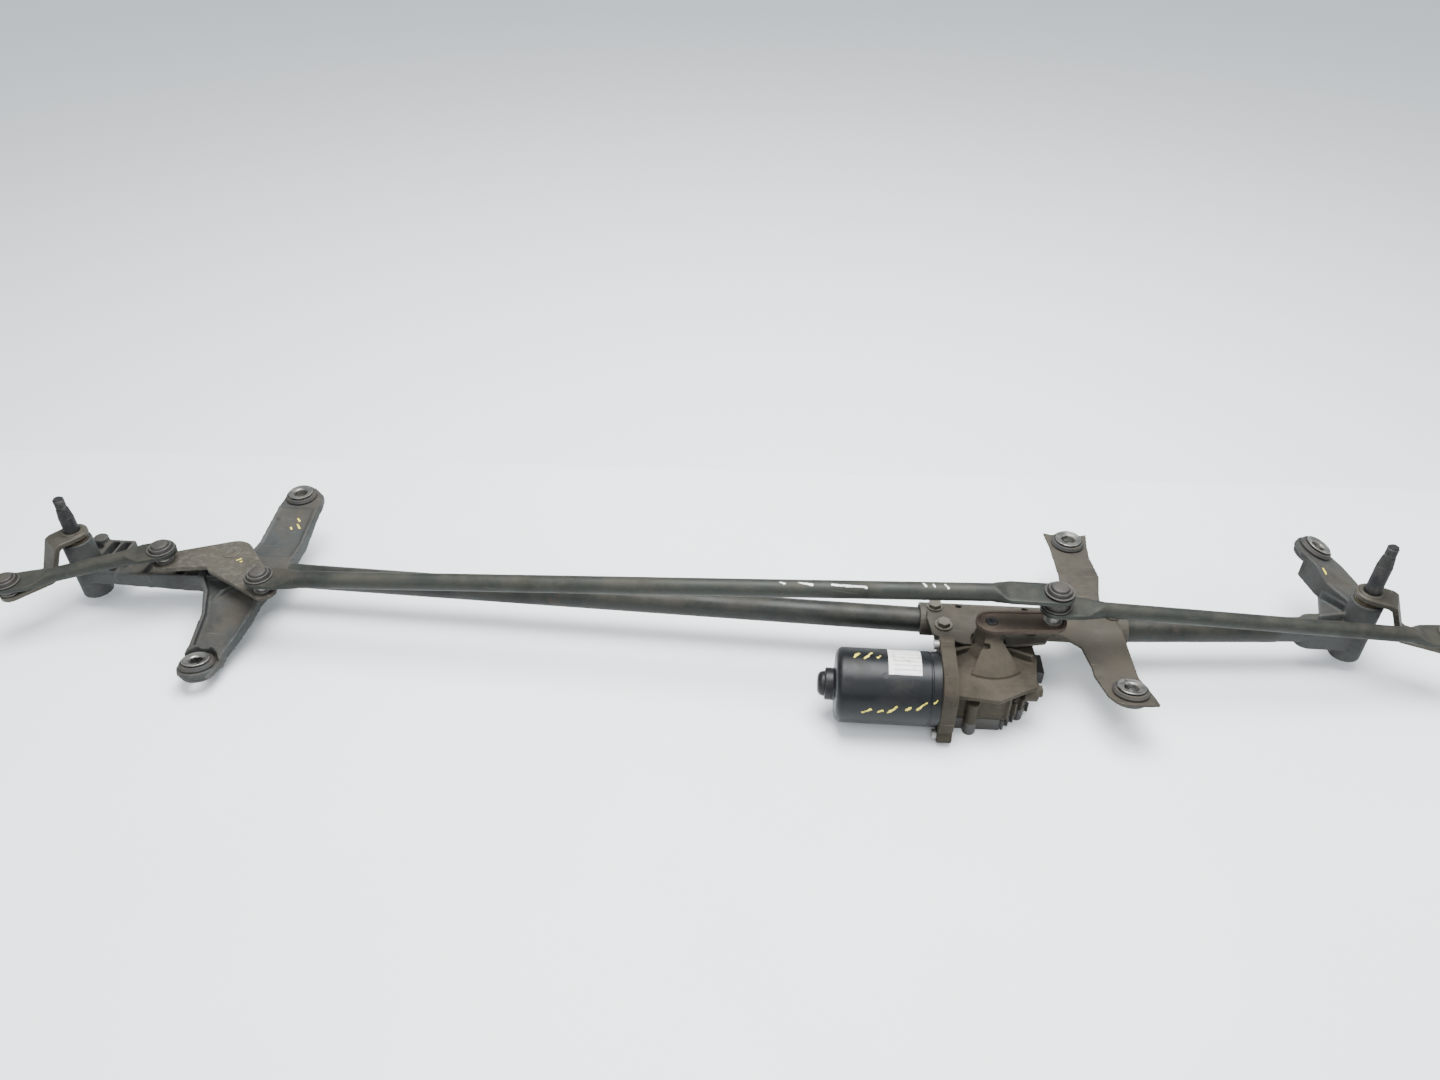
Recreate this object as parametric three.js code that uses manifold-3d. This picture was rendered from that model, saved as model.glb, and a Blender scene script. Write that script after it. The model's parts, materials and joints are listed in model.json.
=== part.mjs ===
// Wiper linkage of a car with two opposed wipers: frame, motor, gearbox, cranks, links and spindles.
// Millimetres, +Z up, +X from the left spindle to the right one, table plane at z = 0.
import * as THREE from 'three';
import { mergeVertices } from 'three/addons/utils/BufferGeometryUtils.js';
import Module from 'manifold-3d';

const wasm = await Module();
wasm.setup();

// ---------------------------------------------------------------- driving dimensions
const GAP = 0.3;                                   // clearance left between pieces that touch

const LEFT_SPINDLE = { x: -602, y: 0, tip: 124, eye: 80, ballHeight: 63 };
const RIGHT_SPINDLE = { x: 602, y: 0, tip: 138, eye: 81, ballHeight: 64 };
const LEVER_LEFT = { radius: 69, angle: -127 };
const LEVER_RIGHT = { radius: 71.6, angle: -24 };
const PIVOT = { x: -455, y: 8 };                   // bell crank pivot
const BELL_LONG = { radius: 72, angle: -44 };      // arm that the drag link pulls
const BELL_SHORT = { radius: 61, angle: 195 };     // arm that pushes the left link
const CRANK = { x: 261.5, y: -57.4, radius: 52.7, angle: 4.5 };

const SHAFT_R = 6.75;                              // both spindles and the pivot pin
const BUSH_R = 9;
const HOUSING_R = 14;
const HOUSING_TOP = 76;
const HOUSING_BOTTOM = 12;
const PIVOT_TOP = 54;
const BELL_Z = 61.5;                               // top face of the bell crank plate
const CRANK_Z = { bottom: 76.5, plate: 79.5, rim: 81 };

const TUBE = { radius: 12, bore: 10, z: 40 };
const TUBE_LEFT = { x0: -399, y0: 3.9, x1: 231, y1: -15.6 };
const TUBE_RIGHT = { x0: 362, y0: -16.7, x1: 530, y1: -4.1 };
const SADDLE = { x0: 205, x1: 392, y: -15.6, inner: 13.8, sheet: 3 };
const PLATE_TOP = TUBE.z + SADDLE.inner + SADDLE.sheet;

const MOTOR = { y: -100, z: 36, radius: 33, left: 127, right: 216, boss: 14, bossLeft: 112 };
const WHEEL_R = 36;
const WORM_R = 6;
const WHEEL_TEETH = 63;
const BALL_R = 7;
const SOCKET_R = 9.8;
const STRIP = 5;                                   // thickness of levers and flattened link ends
const PAD_R = 17.5;
const GROMMET_BORE = 11.5;

// Rubber-mounted feet: centre of the pad, its sheet thickness and its lean in degrees.
const FEET = [
  { name: 'left_rear', x: -421, y: 101, z: 60, sheet: 6, leanX: 0, leanY: 0 },
  { name: 'left_front', x: -449, y: -106, z: 19, sheet: 6, leanX: -12, leanY: 0 },
  { name: 'right_rear', x: 354, y: 83, z: 60, sheet: 3, leanX: 0, leanY: 0 },
  { name: 'right_front', x: 378, y: -102, z: 45, sheet: 3, leanX: -12, leanY: 0 },
  { name: 'right_end', x: 578, y: 70, z: 75, sheet: 6, leanX: 0, leanY: 22 },
];

const STEEL = { color: 0x6e695f, roughness: 0.6, metalness: 0.7 };
const TUBE_PAINT = { color: 0x4b5250, roughness: 0.55, metalness: 0.5 };
const CASTING = { color: 0x7f8588, roughness: 0.65, metalness: 0.6 };
const ZINC = { color: 0xb8bcc0, roughness: 0.3, metalness: 0.9 };
const RUBBER = { color: 0x1e1e1f, roughness: 0.85, metalness: 0 };
const CAN_PAINT = { color: 0x232a32, roughness: 0.4, metalness: 0.4 };
const GEARCASE = { color: 0x645c4b, roughness: 0.75, metalness: 0.5 };
const PLASTIC = { color: 0x2a2927, roughness: 0.7, metalness: 0 };
const BRONZE = { color: 0x9a7444, roughness: 0.45, metalness: 0.8 };
const COPPER = { color: 0xa5633c, roughness: 0.4, metalness: 0.9 };
const NYLON = { color: 0xcfc9b6, roughness: 0.6, metalness: 0 };
const FERRITE = { color: 0x36363a, roughness: 0.8, metalness: 0.1 };

// ---------------------------------------------------------------- geometry helpers
const rad = THREE.MathUtils.degToRad;

function polar(centre, arm) {
  const a = rad(arm.angle);
  return { x: centre.x + arm.radius * Math.cos(a), y: centre.y + arm.radius * Math.sin(a) };
}

function toSolid(geometry) {
  const bare = geometry.clone();
  bare.deleteAttribute('normal');
  bare.deleteAttribute('uv');
  const merged = mergeVertices(bare, 1e-4);
  return new wasm.Manifold(new wasm.Mesh({
    numProp: 3,
    vertProperties: new Float32Array(merged.attributes.position.array),
    triVerts: new Uint32Array(merged.index.array),
  }));
}

function toGeometry(solid) {
  const mesh = solid.getMesh();
  const geometry = new THREE.BufferGeometry();
  geometry.setAttribute('position', new THREE.BufferAttribute(mesh.vertProperties, 3));
  geometry.setIndex(new THREE.BufferAttribute(mesh.triVerts, 1));
  return geometry;
}

function join(...geometries) {
  return toGeometry(geometries.map(toSolid).reduce((a, b) => a.add(b)));
}

function cut(geometry, ...tools) {
  return toGeometry(tools.map(toSolid).reduce((a, b) => a.subtract(b), toSolid(geometry)));
}

function common(a, b) {
  return toGeometry(toSolid(a).intersect(toSolid(b)));
}

// Turned piece on the Z axis: points are [radius, z], listed from the bottom up the outside.
function turned(points, x = 0, y = 0, segments = 16) {
  const profile = points.map(([r, z]) => new THREE.Vector2(r, z));
  return new THREE.LatheGeometry(profile, segments).rotateX(Math.PI / 2).translate(x, y, 0);
}

function disc(r, z0, z1, x = 0, y = 0, segments = 16) {
  return turned([[0, z0], [r, z0], [r, z1], [0, z1]], x, y, segments);
}

function ring(outer, inner, z0, z1, x = 0, y = 0, segments = 16) {
  const points = [[inner, z0], [outer, z0], [outer, z1], [inner, z1], [inner, z0]];
  return turned(points, x, y, segments);
}

// Lays a turned piece along +X, its z becoming x, on the axis (y, z).
function alongX(geometry, y, z) {
  return geometry.rotateY(Math.PI / 2).translate(0, y, z);
}

function block(x0, x1, y0, y1, z0, z1) {
  return new THREE.BoxGeometry(x1 - x0, y1 - y0, z1 - z0)
    .translate((x0 + x1) / 2, (y0 + y1) / 2, (z0 + z1) / 2);
}

// Outline around two circles and the tangents between them.
function slotShape(a, ra, b, rb) {
  const along = Math.atan2(b.y - a.y, b.x - a.x);
  const spread = Math.acos((ra - rb) / Math.hypot(b.x - a.x, b.y - a.y));
  const shape = new THREE.Shape();
  shape.absarc(b.x, b.y, rb, along - spread, along + spread, false);
  shape.absarc(a.x, a.y, ra, along + spread, along - spread + 2 * Math.PI, false);
  shape.closePath();
  return shape;
}

function plate(shape, z0, z1, curveSegments = 6) {
  const settings = { depth: z1 - z0, bevelEnabled: false, curveSegments };
  return new THREE.ExtrudeGeometry(shape, settings).translate(0, 0, z0);
}

function slot(a, ra, b, rb, z0, z1) {
  return plate(slotShape(a, ra, b, rb), z0, z1);
}

function polygon(points) {
  return new THREE.Shape(points.map(([u, v]) => new THREE.Vector2(u, v)));
}

// Upright wall of the given thickness along a line in plan.
function polygonWall([from, to], thickness, z0, z1) {
  const length = Math.hypot(to[0] - from[0], to[1] - from[1]);
  const heading = Math.atan2(to[1] - from[1], to[0] - from[0]);
  const wall = block(0, length, -thickness / 2, thickness / 2, z0, z1);
  return wall.rotateZ(heading).translate(from[0], from[1], 0);
}

// Side profile given as [y, z] points, swept from x0 to x1.
function sideProfile(points, x0, x1) {
  const settings = { depth: x1 - x0, bevelEnabled: false };
  const geometry = new THREE.ExtrudeGeometry(polygon(points), settings);
  return geometry.rotateX(Math.PI / 2).rotateZ(Math.PI / 2).translate(x0, 0, 0);
}

// Front profile given as [x, z] points, swept from y0 to y1.
function frontProfile(points, y0, y1) {
  const settings = { depth: y1 - y0, bevelEnabled: false };
  return new THREE.ExtrudeGeometry(polygon(points), settings).rotateX(Math.PI / 2).translate(0, y1, 0);
}

function between(geometry, from, to) {
  const direction = new THREE.Vector3().subVectors(to, from).normalize();
  const turn = new THREE.Quaternion().setFromUnitVectors(new THREE.Vector3(0, 0, 1), direction);
  return geometry.applyQuaternion(turn).translate(from.x, from.y, from.z);
}

// Skin through elliptic sections { x, width, height, z } in order of x, closed at both ends.
function loft(sections, sides = 12) {
  const positions = [];
  const index = [];
  for (const s of sections) {
    for (let k = 0; k < sides; k += 1) {
      const a = (2 * Math.PI * k) / sides;
      positions.push(s.x, s.width * Math.cos(a), s.z + s.height * Math.sin(a));
    }
  }
  for (let i = 0; i < sections.length - 1; i += 1) {
    for (let k = 0; k < sides; k += 1) {
      const a = i * sides + k;
      const b = i * sides + ((k + 1) % sides);
      index.push(a, b, a + sides, b, b + sides, a + sides);
    }
  }
  const last = (sections.length - 1) * sides;
  for (let k = 1; k < sides - 1; k += 1) {
    index.push(0, k + 1, k, last, last + k, last + k + 1);
  }
  const geometry = new THREE.BufferGeometry();
  geometry.setAttribute('position', new THREE.Float32BufferAttribute(positions, 3));
  geometry.setIndex(index);
  return geometry;
}

// ---------------------------------------------------------------- scene graph
const group = new THREE.Group();

function addMesh(name, geometry, finish, parent = group) {
  geometry.computeVertexNormals();
  const mesh = new THREE.Mesh(geometry, new THREE.MeshStandardMaterial(finish));
  mesh.name = name;
  parent.add(mesh);
  return mesh;
}

// ---------------------------------------------------------------- small repeated pieces
function bush(name, centre, z0, z1) {
  const flange = [[SHAFT_R + GAP, z0], [BUSH_R, z0], [BUSH_R, z1 - 1.5], [BUSH_R + 2.5, z1 - 1.5],
    [BUSH_R + 2.5, z1], [SHAFT_R + GAP, z1], [SHAFT_R + GAP, z0]];
  addMesh(name, turned(flange, centre.x, centre.y), BRONZE);
}

function circlip(name, centre, z) {
  const body = ring(SHAFT_R + 3, SHAFT_R + GAP, z, z + 1.2, 0, 0, 14);
  const mouth = block(0, 14, -2, 2, z - 1, z + 3);
  addMesh(name, cut(body, mouth).rotateZ(rad(-60)).translate(centre.x, centre.y, 0), STEEL);
}

// Ball on a riveted stem; base is the plate face it stands on, z the ball's centre.
function ballStud(name, at, base, z, thickness = 2) {
  const points = [[0, base], [8, base], [8, base + thickness], [4.6, base + thickness + 0.3]];
  for (const a of [-45, -10, 25, 60]) {
    points.push([BALL_R * Math.cos(rad(a)), z + BALL_R * Math.sin(rad(a))]);
  }
  points.push([0, z + BALL_R]);
  addMesh(name, turned(points, at.x, at.y, 12), ZINC);
}

// Moulded socket under a crimped cap; z is the ball's centre. A low one has no dome.
function ballSocket(name, at, z, low = false) {
  const cavity = BALL_R + GAP + 0.2;
  const points = [[0, z + cavity]];
  for (const a of [60, 25, -10, -40]) {
    points.push([cavity * Math.cos(rad(a)), z + cavity * Math.sin(rad(a))]);
  }
  points.push([SOCKET_R, z - 4.7], [SOCKET_R, z + 2.9], [12.8, z + 2.9], [12.8, z + 4.6]);
  if (low) points.push([9, z + 8.4], [0, z + 8.4]);
  else points.push([9.6, z + 6.4], [6, z + 9], [0, z + 9.2]);
  addMesh(name, turned(points, at.x, at.y, 12), PLASTIC);
}

// Rod with two flattened, holed ends that carry the ball sockets.
function link(name, from, to, options) {
  const { rodR, flatFrom, flatTo, zFrom, zTo } = options;
  const length = Math.hypot(to.x - from.x, to.y - from.y);
  const endR = 13.5;
  const half = STRIP / 2;
  const ramp = 22;
  const level = (x) => {
    const t = THREE.MathUtils.clamp((x - flatFrom) / (length - flatFrom - flatTo), 0, 1);
    return zFrom + t * (zTo - zFrom);
  };
  const sections = [];
  for (const part of [0.06, 0.35, 0.65, 0.88, 1]) {
    const x = -endR * Math.cos(Math.asin(part));
    sections.push({ x, width: endR * part, height: half, z: zFrom });
  }
  sections.push({ x: flatFrom, width: endR, height: half, z: zFrom });
  for (const t of [0.5, 1]) {
    const x = flatFrom + ramp * t;
    const width = THREE.MathUtils.lerp(endR, rodR, t);
    sections.push({ x, width, height: THREE.MathUtils.lerp(half, rodR, t ** 0.7), z: level(x) });
  }
  for (const t of [1, 0.5]) {
    const x = length - flatTo - ramp * t;
    const width = THREE.MathUtils.lerp(endR, rodR, t);
    sections.push({ x, width, height: THREE.MathUtils.lerp(half, rodR, t ** 0.7), z: level(x) });
  }
  sections.push({ x: length - flatTo, width: endR, height: half, z: zTo });
  for (const part of [1, 0.88, 0.65, 0.35, 0.06]) {
    const x = length + endR * Math.cos(Math.asin(part));
    sections.push({ x, width: endR * part, height: half, z: zTo });
  }
  const hole = SOCKET_R + GAP;
  const body = cut(loft(sections), disc(hole, zFrom - 9, zFrom + 9), disc(hole, zTo - 9, zTo + 9, length));
  const heading = Math.atan2(to.y - from.y, to.x - from.x);
  addMesh(name, body.rotateZ(heading).translate(from.x, from.y, 0), STEEL);
}

// Flat lever with a swan neck: eye at height eyeZ, ball end at height endZ (both bottom faces).
function lever(name, spindle, arm, eyeZ, endZ) {
  const along = { x: arm.radius, y: 0 };
  const outline = slot({ x: 0, y: 0 }, 13, along, 9.5, 0, 120);
  const side = frontProfile([
    [-20, eyeZ], [15, eyeZ], [19, eyeZ - 2], [31.5, endZ + 2], [35.5, endZ], [100, endZ],
    [100, endZ + STRIP], [37.5, endZ + STRIP], [34, endZ + STRIP + 2], [22, eyeZ + STRIP - 2],
    [17.5, eyeZ + STRIP], [-20, eyeZ + STRIP],
  ], -30, 30);
  const collar = disc(10.5, eyeZ, eyeZ + STRIP + 2);
  const bore = disc(SHAFT_R + GAP, 0, 120);
  const body = cut(join(common(outline, side), collar), bore);
  addMesh(name, body.rotateZ(rad(arm.angle)).translate(spindle.x, spindle.y, 0), STEEL);
}

// Spindle shaft with a knurled cone and a threaded tip for the wiper arm.
function spindleShaft(name, spindle) {
  const { tip } = spindle;
  const end = HOUSING_BOTTOM - 3.5;
  const points = [[0, end], [SHAFT_R, end], [SHAFT_R, tip - 21], [6.2, tip - 20], [5.2, tip - 11]];
  for (let z = tip - 10; z < tip - 2; z += 2.5) {
    points.push([4.1, z], [4.8, z + 1.2]);
  }
  points.push([3.6, tip], [0, tip]);
  addMesh(name, turned(points, spindle.x, spindle.y, 18), ZINC);
}

function hexBolt(name, x, y, headZ, options = {}) {
  const { headR = 6, shankR = 3, shank = 20, washer = 8 } = options;
  const head = disc(headR, headZ + 1.2, headZ + 5.2, 0, 0, 6);
  const body = join(head, disc(washer, headZ, headZ + 1.4, 0, 0, 14),
    disc(shankR, headZ - shank, headZ + 1, 0, 0, 10));
  addMesh(name, body.translate(x, y, 0), ZINC);
}

// ---------------------------------------------------------------- rubber feet
function place(geometry, foot) {
  return geometry.rotateX(rad(foot.leanX)).rotateY(rad(foot.leanY)).translate(foot.x, foot.y, foot.z);
}

function padRing(foot) {
  return place(disc(PAD_R, -foot.sheet / 2, foot.sheet / 2, 0, 0, 32), foot);
}

function padHole(foot) {
  return place(disc(GROMMET_BORE, -20, 20), foot);
}

// Room above and below the pad for the grommet's two lips.
function padClearance(foot, side) {
  const near = (foot.sheet / 2) * side;
  const far = near + 16 * side;
  return place(disc(PAD_R + 0.5, Math.min(near, far), Math.max(near, far)), foot);
}

function foot(spec) {
  const half = spec.sheet / 2 + GAP;
  const neck = GROMMET_BORE - GAP;
  const lip = 4.5;
  const bore = 7.2;
  const rubber = turned([[bore, -half - lip], [14, -half - lip], [15.5, -half],
    [neck, -half], [neck, half], [15.5, half], [14.5, half + lip], [bore, half + lip],
    [bore, -half - lip]]);
  const top = half + lip + GAP;
  const inner = 5.8;
  const sleeve = turned([[inner, -half - lip], [bore - GAP, -half - lip], [bore - GAP, top], [11.8, top],
    [12.2, top + 1.6], [inner, top + 1.6], [inner, -half - lip]]);
  addMesh(`grommet_${spec.name}`, place(rubber, spec), RUBBER);
  addMesh(`sleeve_${spec.name}`, place(sleeve, spec), ZINC);
}

// Cast arm with the given plan and side profile; the pocket is hollowed from above.
function castArm(plan, side, pocketPlan, floor) {
  const xs = plan.map(([x]) => x);
  const x0 = Math.min(...xs) - 10;
  const x1 = Math.max(...xs) + 10;
  const body = common(plate(polygon(plan), 0, 100), sideProfile(side, x0, x1));
  const pocket = common(plate(polygon(pocketPlan), 0, 100), sideProfile(floor, x0, x1));
  return cut(body, pocket);
}

// Round neck that carries a tube's end on a spigot; reach is the way the spigot points along the tube.
function tubeNeck(line, end, reach, length) {
  const heading = Math.atan2(line.y1 - line.y0, line.x1 - line.x0);
  const neck = disc(TUBE.radius - 0.5, reach > 0 ? -length : GAP, reach > 0 ? -GAP : length);
  const spigot = disc(TUBE.bore - GAP, -26, 26);
  return alongX(join(neck, spigot), 0, 0).rotateZ(heading).translate(end.x, end.y, TUBE.z);
}

// ---------------------------------------------------------------- left casting
function leftBracket() {
  const [rear, front] = FEET;
  const tubeEnd = { x: TUBE_LEFT.x0, y: TUBE_LEFT.y0 };
  const beam = common(
    slot(LEFT_SPINDLE, 14, PIVOT, 18, 0, 60),
    frontProfile([[-620, 34], [-455, 23], [-430, 23], [-430, 46], [-620, 46]], -40, 40),
  );
  const pockets = [-576, -542, -508].map((x) => block(x, x + 31, -9, 15, 37, 60));
  const bridge = slot(PIVOT, 18, { x: -426, y: 5 }, 12, 30, 50);
  const housing = disc(HOUSING_R, HOUSING_BOTTOM, HOUSING_TOP, LEFT_SPINDLE.x, LEFT_SPINDLE.y, 24);
  const pivotHousing = disc(HOUSING_R, 12, PIVOT_TOP, PIVOT.x, PIVOT.y, 28);
  const post = { x: -599, y: 27 };
  const lug = join(disc(7, 30, 58, post.x, post.y, 20), slot(LEFT_SPINDLE, 11, post, 7, 34, 48));
  const cells = [-589, -578].map((x) => block(x, x + 9, 8, 28, 36, 60));
  const box = cut(block(-593.5, -566, 8, 31, 32, 52), ...cells);
  const frontArm = castArm(
    [[-486, 6], [-484, -12], [-469, -34], [-463, -55], [-464, -85], [-466.5, -106], [-463, -118],
      [-450, -122], [-434, -122], [-430, -112], [-429, -91], [-422.5, -75], [-416, -54],
      [-411, -29], [-404, 6]],
    [[26, 34], [26, 50], [-36, 47], [-88, 27.5], [-127, 18], [-127, 9], [-98, 13], [-88, 17], [-36, 35]],
    [[-478, 0], [-478, -12], [-465, -32], [-459.5, -55], [-460, -87], [-432, -87], [-426, -75], [-418, -46],
      [-415, 0]],
    [[4, 42], [-36, 41], [-86, 23.5], [-88, 60], [4, 60]],
  );
  const padFaces = [[-40, -front.sheet / 2], [front.sheet / 2, 40]].map(([z0, z1]) => (
    place(block(-60, 60, -40, 6, z0, z1), front)));
  const web = common(
    polygonWall([[-464, -44], [-436, -12]], 3, 30, 60),
    sideProfile([[-60, 30], [-8, 34], [-8, 48], [-30, 47], [-46, 36]], -500, -400),
  );
  const rearArm = castArm(
    [[-450, 0], [-438, 92], [-438, 106], [-431, 117], [-413, 118], [-400, 106], [-397.5, 92], [-403, 0]],
    [[-6, 34], [-6, 50], [40, 50], [84, 63], [124, 63], [124, 57], [84, 53], [44, 38]],
    [[-446, 20], [-437, 84], [-402, 84], [-405, 20]],
    [[20, 48.4], [41, 48.4], [84, 61.4], [84, 80], [20, 80]],
  );
  const body = join(cut(beam, ...pockets), bridge, tubeNeck(TUBE_LEFT, tubeEnd, 1, 30), lug, box,
    cut(frontArm, ...padFaces), web, rearArm, housing, pivotHousing, padRing(front), padRing(rear));
  const bores = [
    disc(BUSH_R + GAP, -2, 90, LEFT_SPINDLE.x, LEFT_SPINDLE.y),
    disc(SHAFT_R + 4.2, -2, HOUSING_BOTTOM + 6, LEFT_SPINDLE.x, LEFT_SPINDLE.y),
    disc(BUSH_R + GAP, -2, 90, PIVOT.x, PIVOT.y),
  ];
  const feet = [front, rear].flatMap((f) => [padHole(f), padClearance(f, 1), padClearance(f, -1)]);
  addMesh('left_bracket', cut(body, ...bores, ...feet), CASTING);
  bush('left_spindle_bush', LEFT_SPINDLE, HOUSING_BOTTOM + 6, HOUSING_TOP + 2);
  bush('bell_crank_bush', PIVOT, 14, PIVOT_TOP + 2);
}

// ---------------------------------------------------------------- right casting
function rightBracket() {
  const end = FEET[4];
  const tubeEnd = { x: TUBE_RIGHT.x1, y: TUBE_RIGHT.y1 };
  const housing = disc(HOUSING_R, HOUSING_BOTTOM, HOUSING_TOP + 1, RIGHT_SPINDLE.x, RIGHT_SPINDLE.y, 24);
  const neckEnd = { x: 562, y: -2 };
  const bridge = slot(neckEnd, 11.5, RIGHT_SPINDLE, 13, 26, 50);
  const web = plate(polygon([[582, 42], [577, 26], [571, 6], [560, -8], [602, -8], [604, 24]]), 46, 52);
  const ribs = [
    polygonWall([[579, 30], [597, 8]], 3, 50, 60),
    polygonWall([[564, -4], [592, 2]], 3, 50, 60),
  ];
  const arm = castArm(
    [[560.8, 70], [561, 57], [574, 35], [592, 14], [600, 2], [616, 2], [614, 24], [611, 40], [604, 60],
      [595, 72], [578, 80]],
    [[-14, 48], [-14, 56], [6, 62], [30, 70], [52, 90], [100, 90], [100, 60], [54, 60], [24, 48]],
    [[566, 56], [578, 36], [595, 18], [606, 16], [603, 42], [596, 56]],
    [[12, 62.5], [30, 68.5], [50, 85], [50, 100], [12, 100]],
  );
  const topCut = place(block(-60, 60, -40, 60, end.sheet / 2, 50), end);
  const footCut = place(block(-60, 60, -16, 60, -50, -end.sheet / 2), end);
  const body = join(cut(arm, topCut, footCut), housing, bridge, web, ...ribs,
    tubeNeck(TUBE_RIGHT, tubeEnd, -1, 36), padRing(end));
  const bores = [
    disc(BUSH_R + GAP, -2, 100, RIGHT_SPINDLE.x, RIGHT_SPINDLE.y),
    disc(SHAFT_R + 4.2, -2, HOUSING_BOTTOM + 6, RIGHT_SPINDLE.x, RIGHT_SPINDLE.y),
    disc(17.5, HOUSING_TOP + 1, 120, RIGHT_SPINDLE.x, RIGHT_SPINDLE.y),
    padHole(end), padClearance(end, 1), padClearance(end, -1),
  ];
  addMesh('right_bracket', cut(body, ...bores), CASTING);
  bush('right_spindle_bush', RIGHT_SPINDLE, HOUSING_BOTTOM + 6, HOUSING_TOP + 3);
}

// ---------------------------------------------------------------- frame tubes
function frameTube(name, line, boltX) {
  const from = new THREE.Vector3(line.x0, line.y0, TUBE.z);
  const to = new THREE.Vector3(line.x1, line.y1, TUBE.z);
  const tube = between(ring(TUBE.radius, TUBE.bore, 0, from.distanceTo(to), 0, 0, 24), from, to);
  const bolt = disc(3.5, 20, 90, boltX, SADDLE.y, 14);
  addMesh(name, cut(tube, bolt), TUBE_PAINT);
}

// ---------------------------------------------------------------- motor bracket
const CASE_BOLTS = [{ x: 224, y: -40 }, { x: 300, y: -40 }];
const TUBE_BOLTS = [218, 377];

function motorBracket() {
  const rear = FEET[2];
  const front = FEET[3];
  const { x0, x1, y, inner, sheet } = SADDLE;
  const outer = inner + sheet;
  const saddle = alongX(ring(outer, inner, x0, x1, 0, 0, 24), y, TUBE.z);
  const lower = block(x0 - 5, x1 + 5, y - 40, y + 40, 0, TUBE.z - 4);
  const base = plate(polygon([
    [212, y + 4], [330, y + 4], [330, -26], [312, -56], [284, -62], [240, -62], [214, -52], [210, -30],
  ]), PLATE_TOP - sheet, PLATE_TOP);
  const half = sheet / 2;
  const rearArm = common(
    plate(polygon([[339, -24], [337.5, 40], [336, 80], [333.5, 99], [339, 97], [369, 97], [375, 99],
      [372.5, 80], [371.5, 62], [375, 34], [371, 6], [371, -24]]), 0, 100),
    sideProfile([[-16, PLATE_TOP - sheet], [-16, PLATE_TOP], [16, PLATE_TOP], [34, rear.z + half],
      [110, rear.z + half], [110, rear.z - half], [36, rear.z - half], [18, PLATE_TOP - sheet]], 300, 420),
  );
  const slope = Math.tan(rad(front.leanX));
  const frontZ = (y) => front.z + slope * (y - front.y);
  const frontArm = common(
    plate(polygon([[308, -10], [308, -38], [330, -43], [345, -52], [352, -70], [358, -108], [363, -117],
      [370, -120.5], [392, -119], [398.5, -118], [397.5, -108], [389, -66], [381, -24], [379, -10]]), 0, 100),
    sideProfile([[-10, PLATE_TOP - sheet], [-10, PLATE_TOP], [-34, PLATE_TOP], [-78, frontZ(-78) + half],
      [-130, frontZ(-130) + half], [-130, frontZ(-130) - half], [-78, frontZ(-78) - half],
      [-33, PLATE_TOP - sheet]], 300, 440),
  );
  const rim = common(
    plate(polygon([[368, 14], [371.5, 34], [368.5, 60], [372, 60], [374.5, 34], [371, 14]]), 0, 100),
    sideProfile([[14, 50], [14, 56], [60, rear.z - half + 1], [60, rear.z - 7]], 300, 420),
  );
  const caseRoom = disc(CHAMBER_R + GAP + 0.2, CASE.bottom - GAP, CASE.top + GAP + 0.2, CRANK.x, CRANK.y, 26);
  const body = join(cut(saddle, lower, caseRoom), base, rearArm, rim, frontArm, padRing(rear),
    padRing(front));
  const holes = [
    disc(15, 40, 70, CRANK.x, CRANK.y, 32),
    ...CASE_BOLTS.map((b) => disc(3.4, 40, 70, b.x, b.y, 16)),
    ...TUBE_BOLTS.map((x) => disc(3.5, 20, 90, x, y, 14)),
    ...[240, 300].map((x) => disc(3, 50, 70, x, -12, 16)),
    ...[rear, front].flatMap((f) => [padHole(f)]),
  ];
  addMesh('motor_bracket', cut(body, ...holes), STEEL);
  CASE_BOLTS.forEach((b, k) => {
    hexBolt(`case_bolt_${k + 1}`, b.x, b.y, PLATE_TOP + GAP, { shank: 11 });
  });
  TUBE_BOLTS.forEach((x, k) => {
    hexBolt(`tube_bolt_${k + 1}`, x, y, PLATE_TOP + GAP, { shank: 32, washer: 7 });
  });
}

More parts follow.
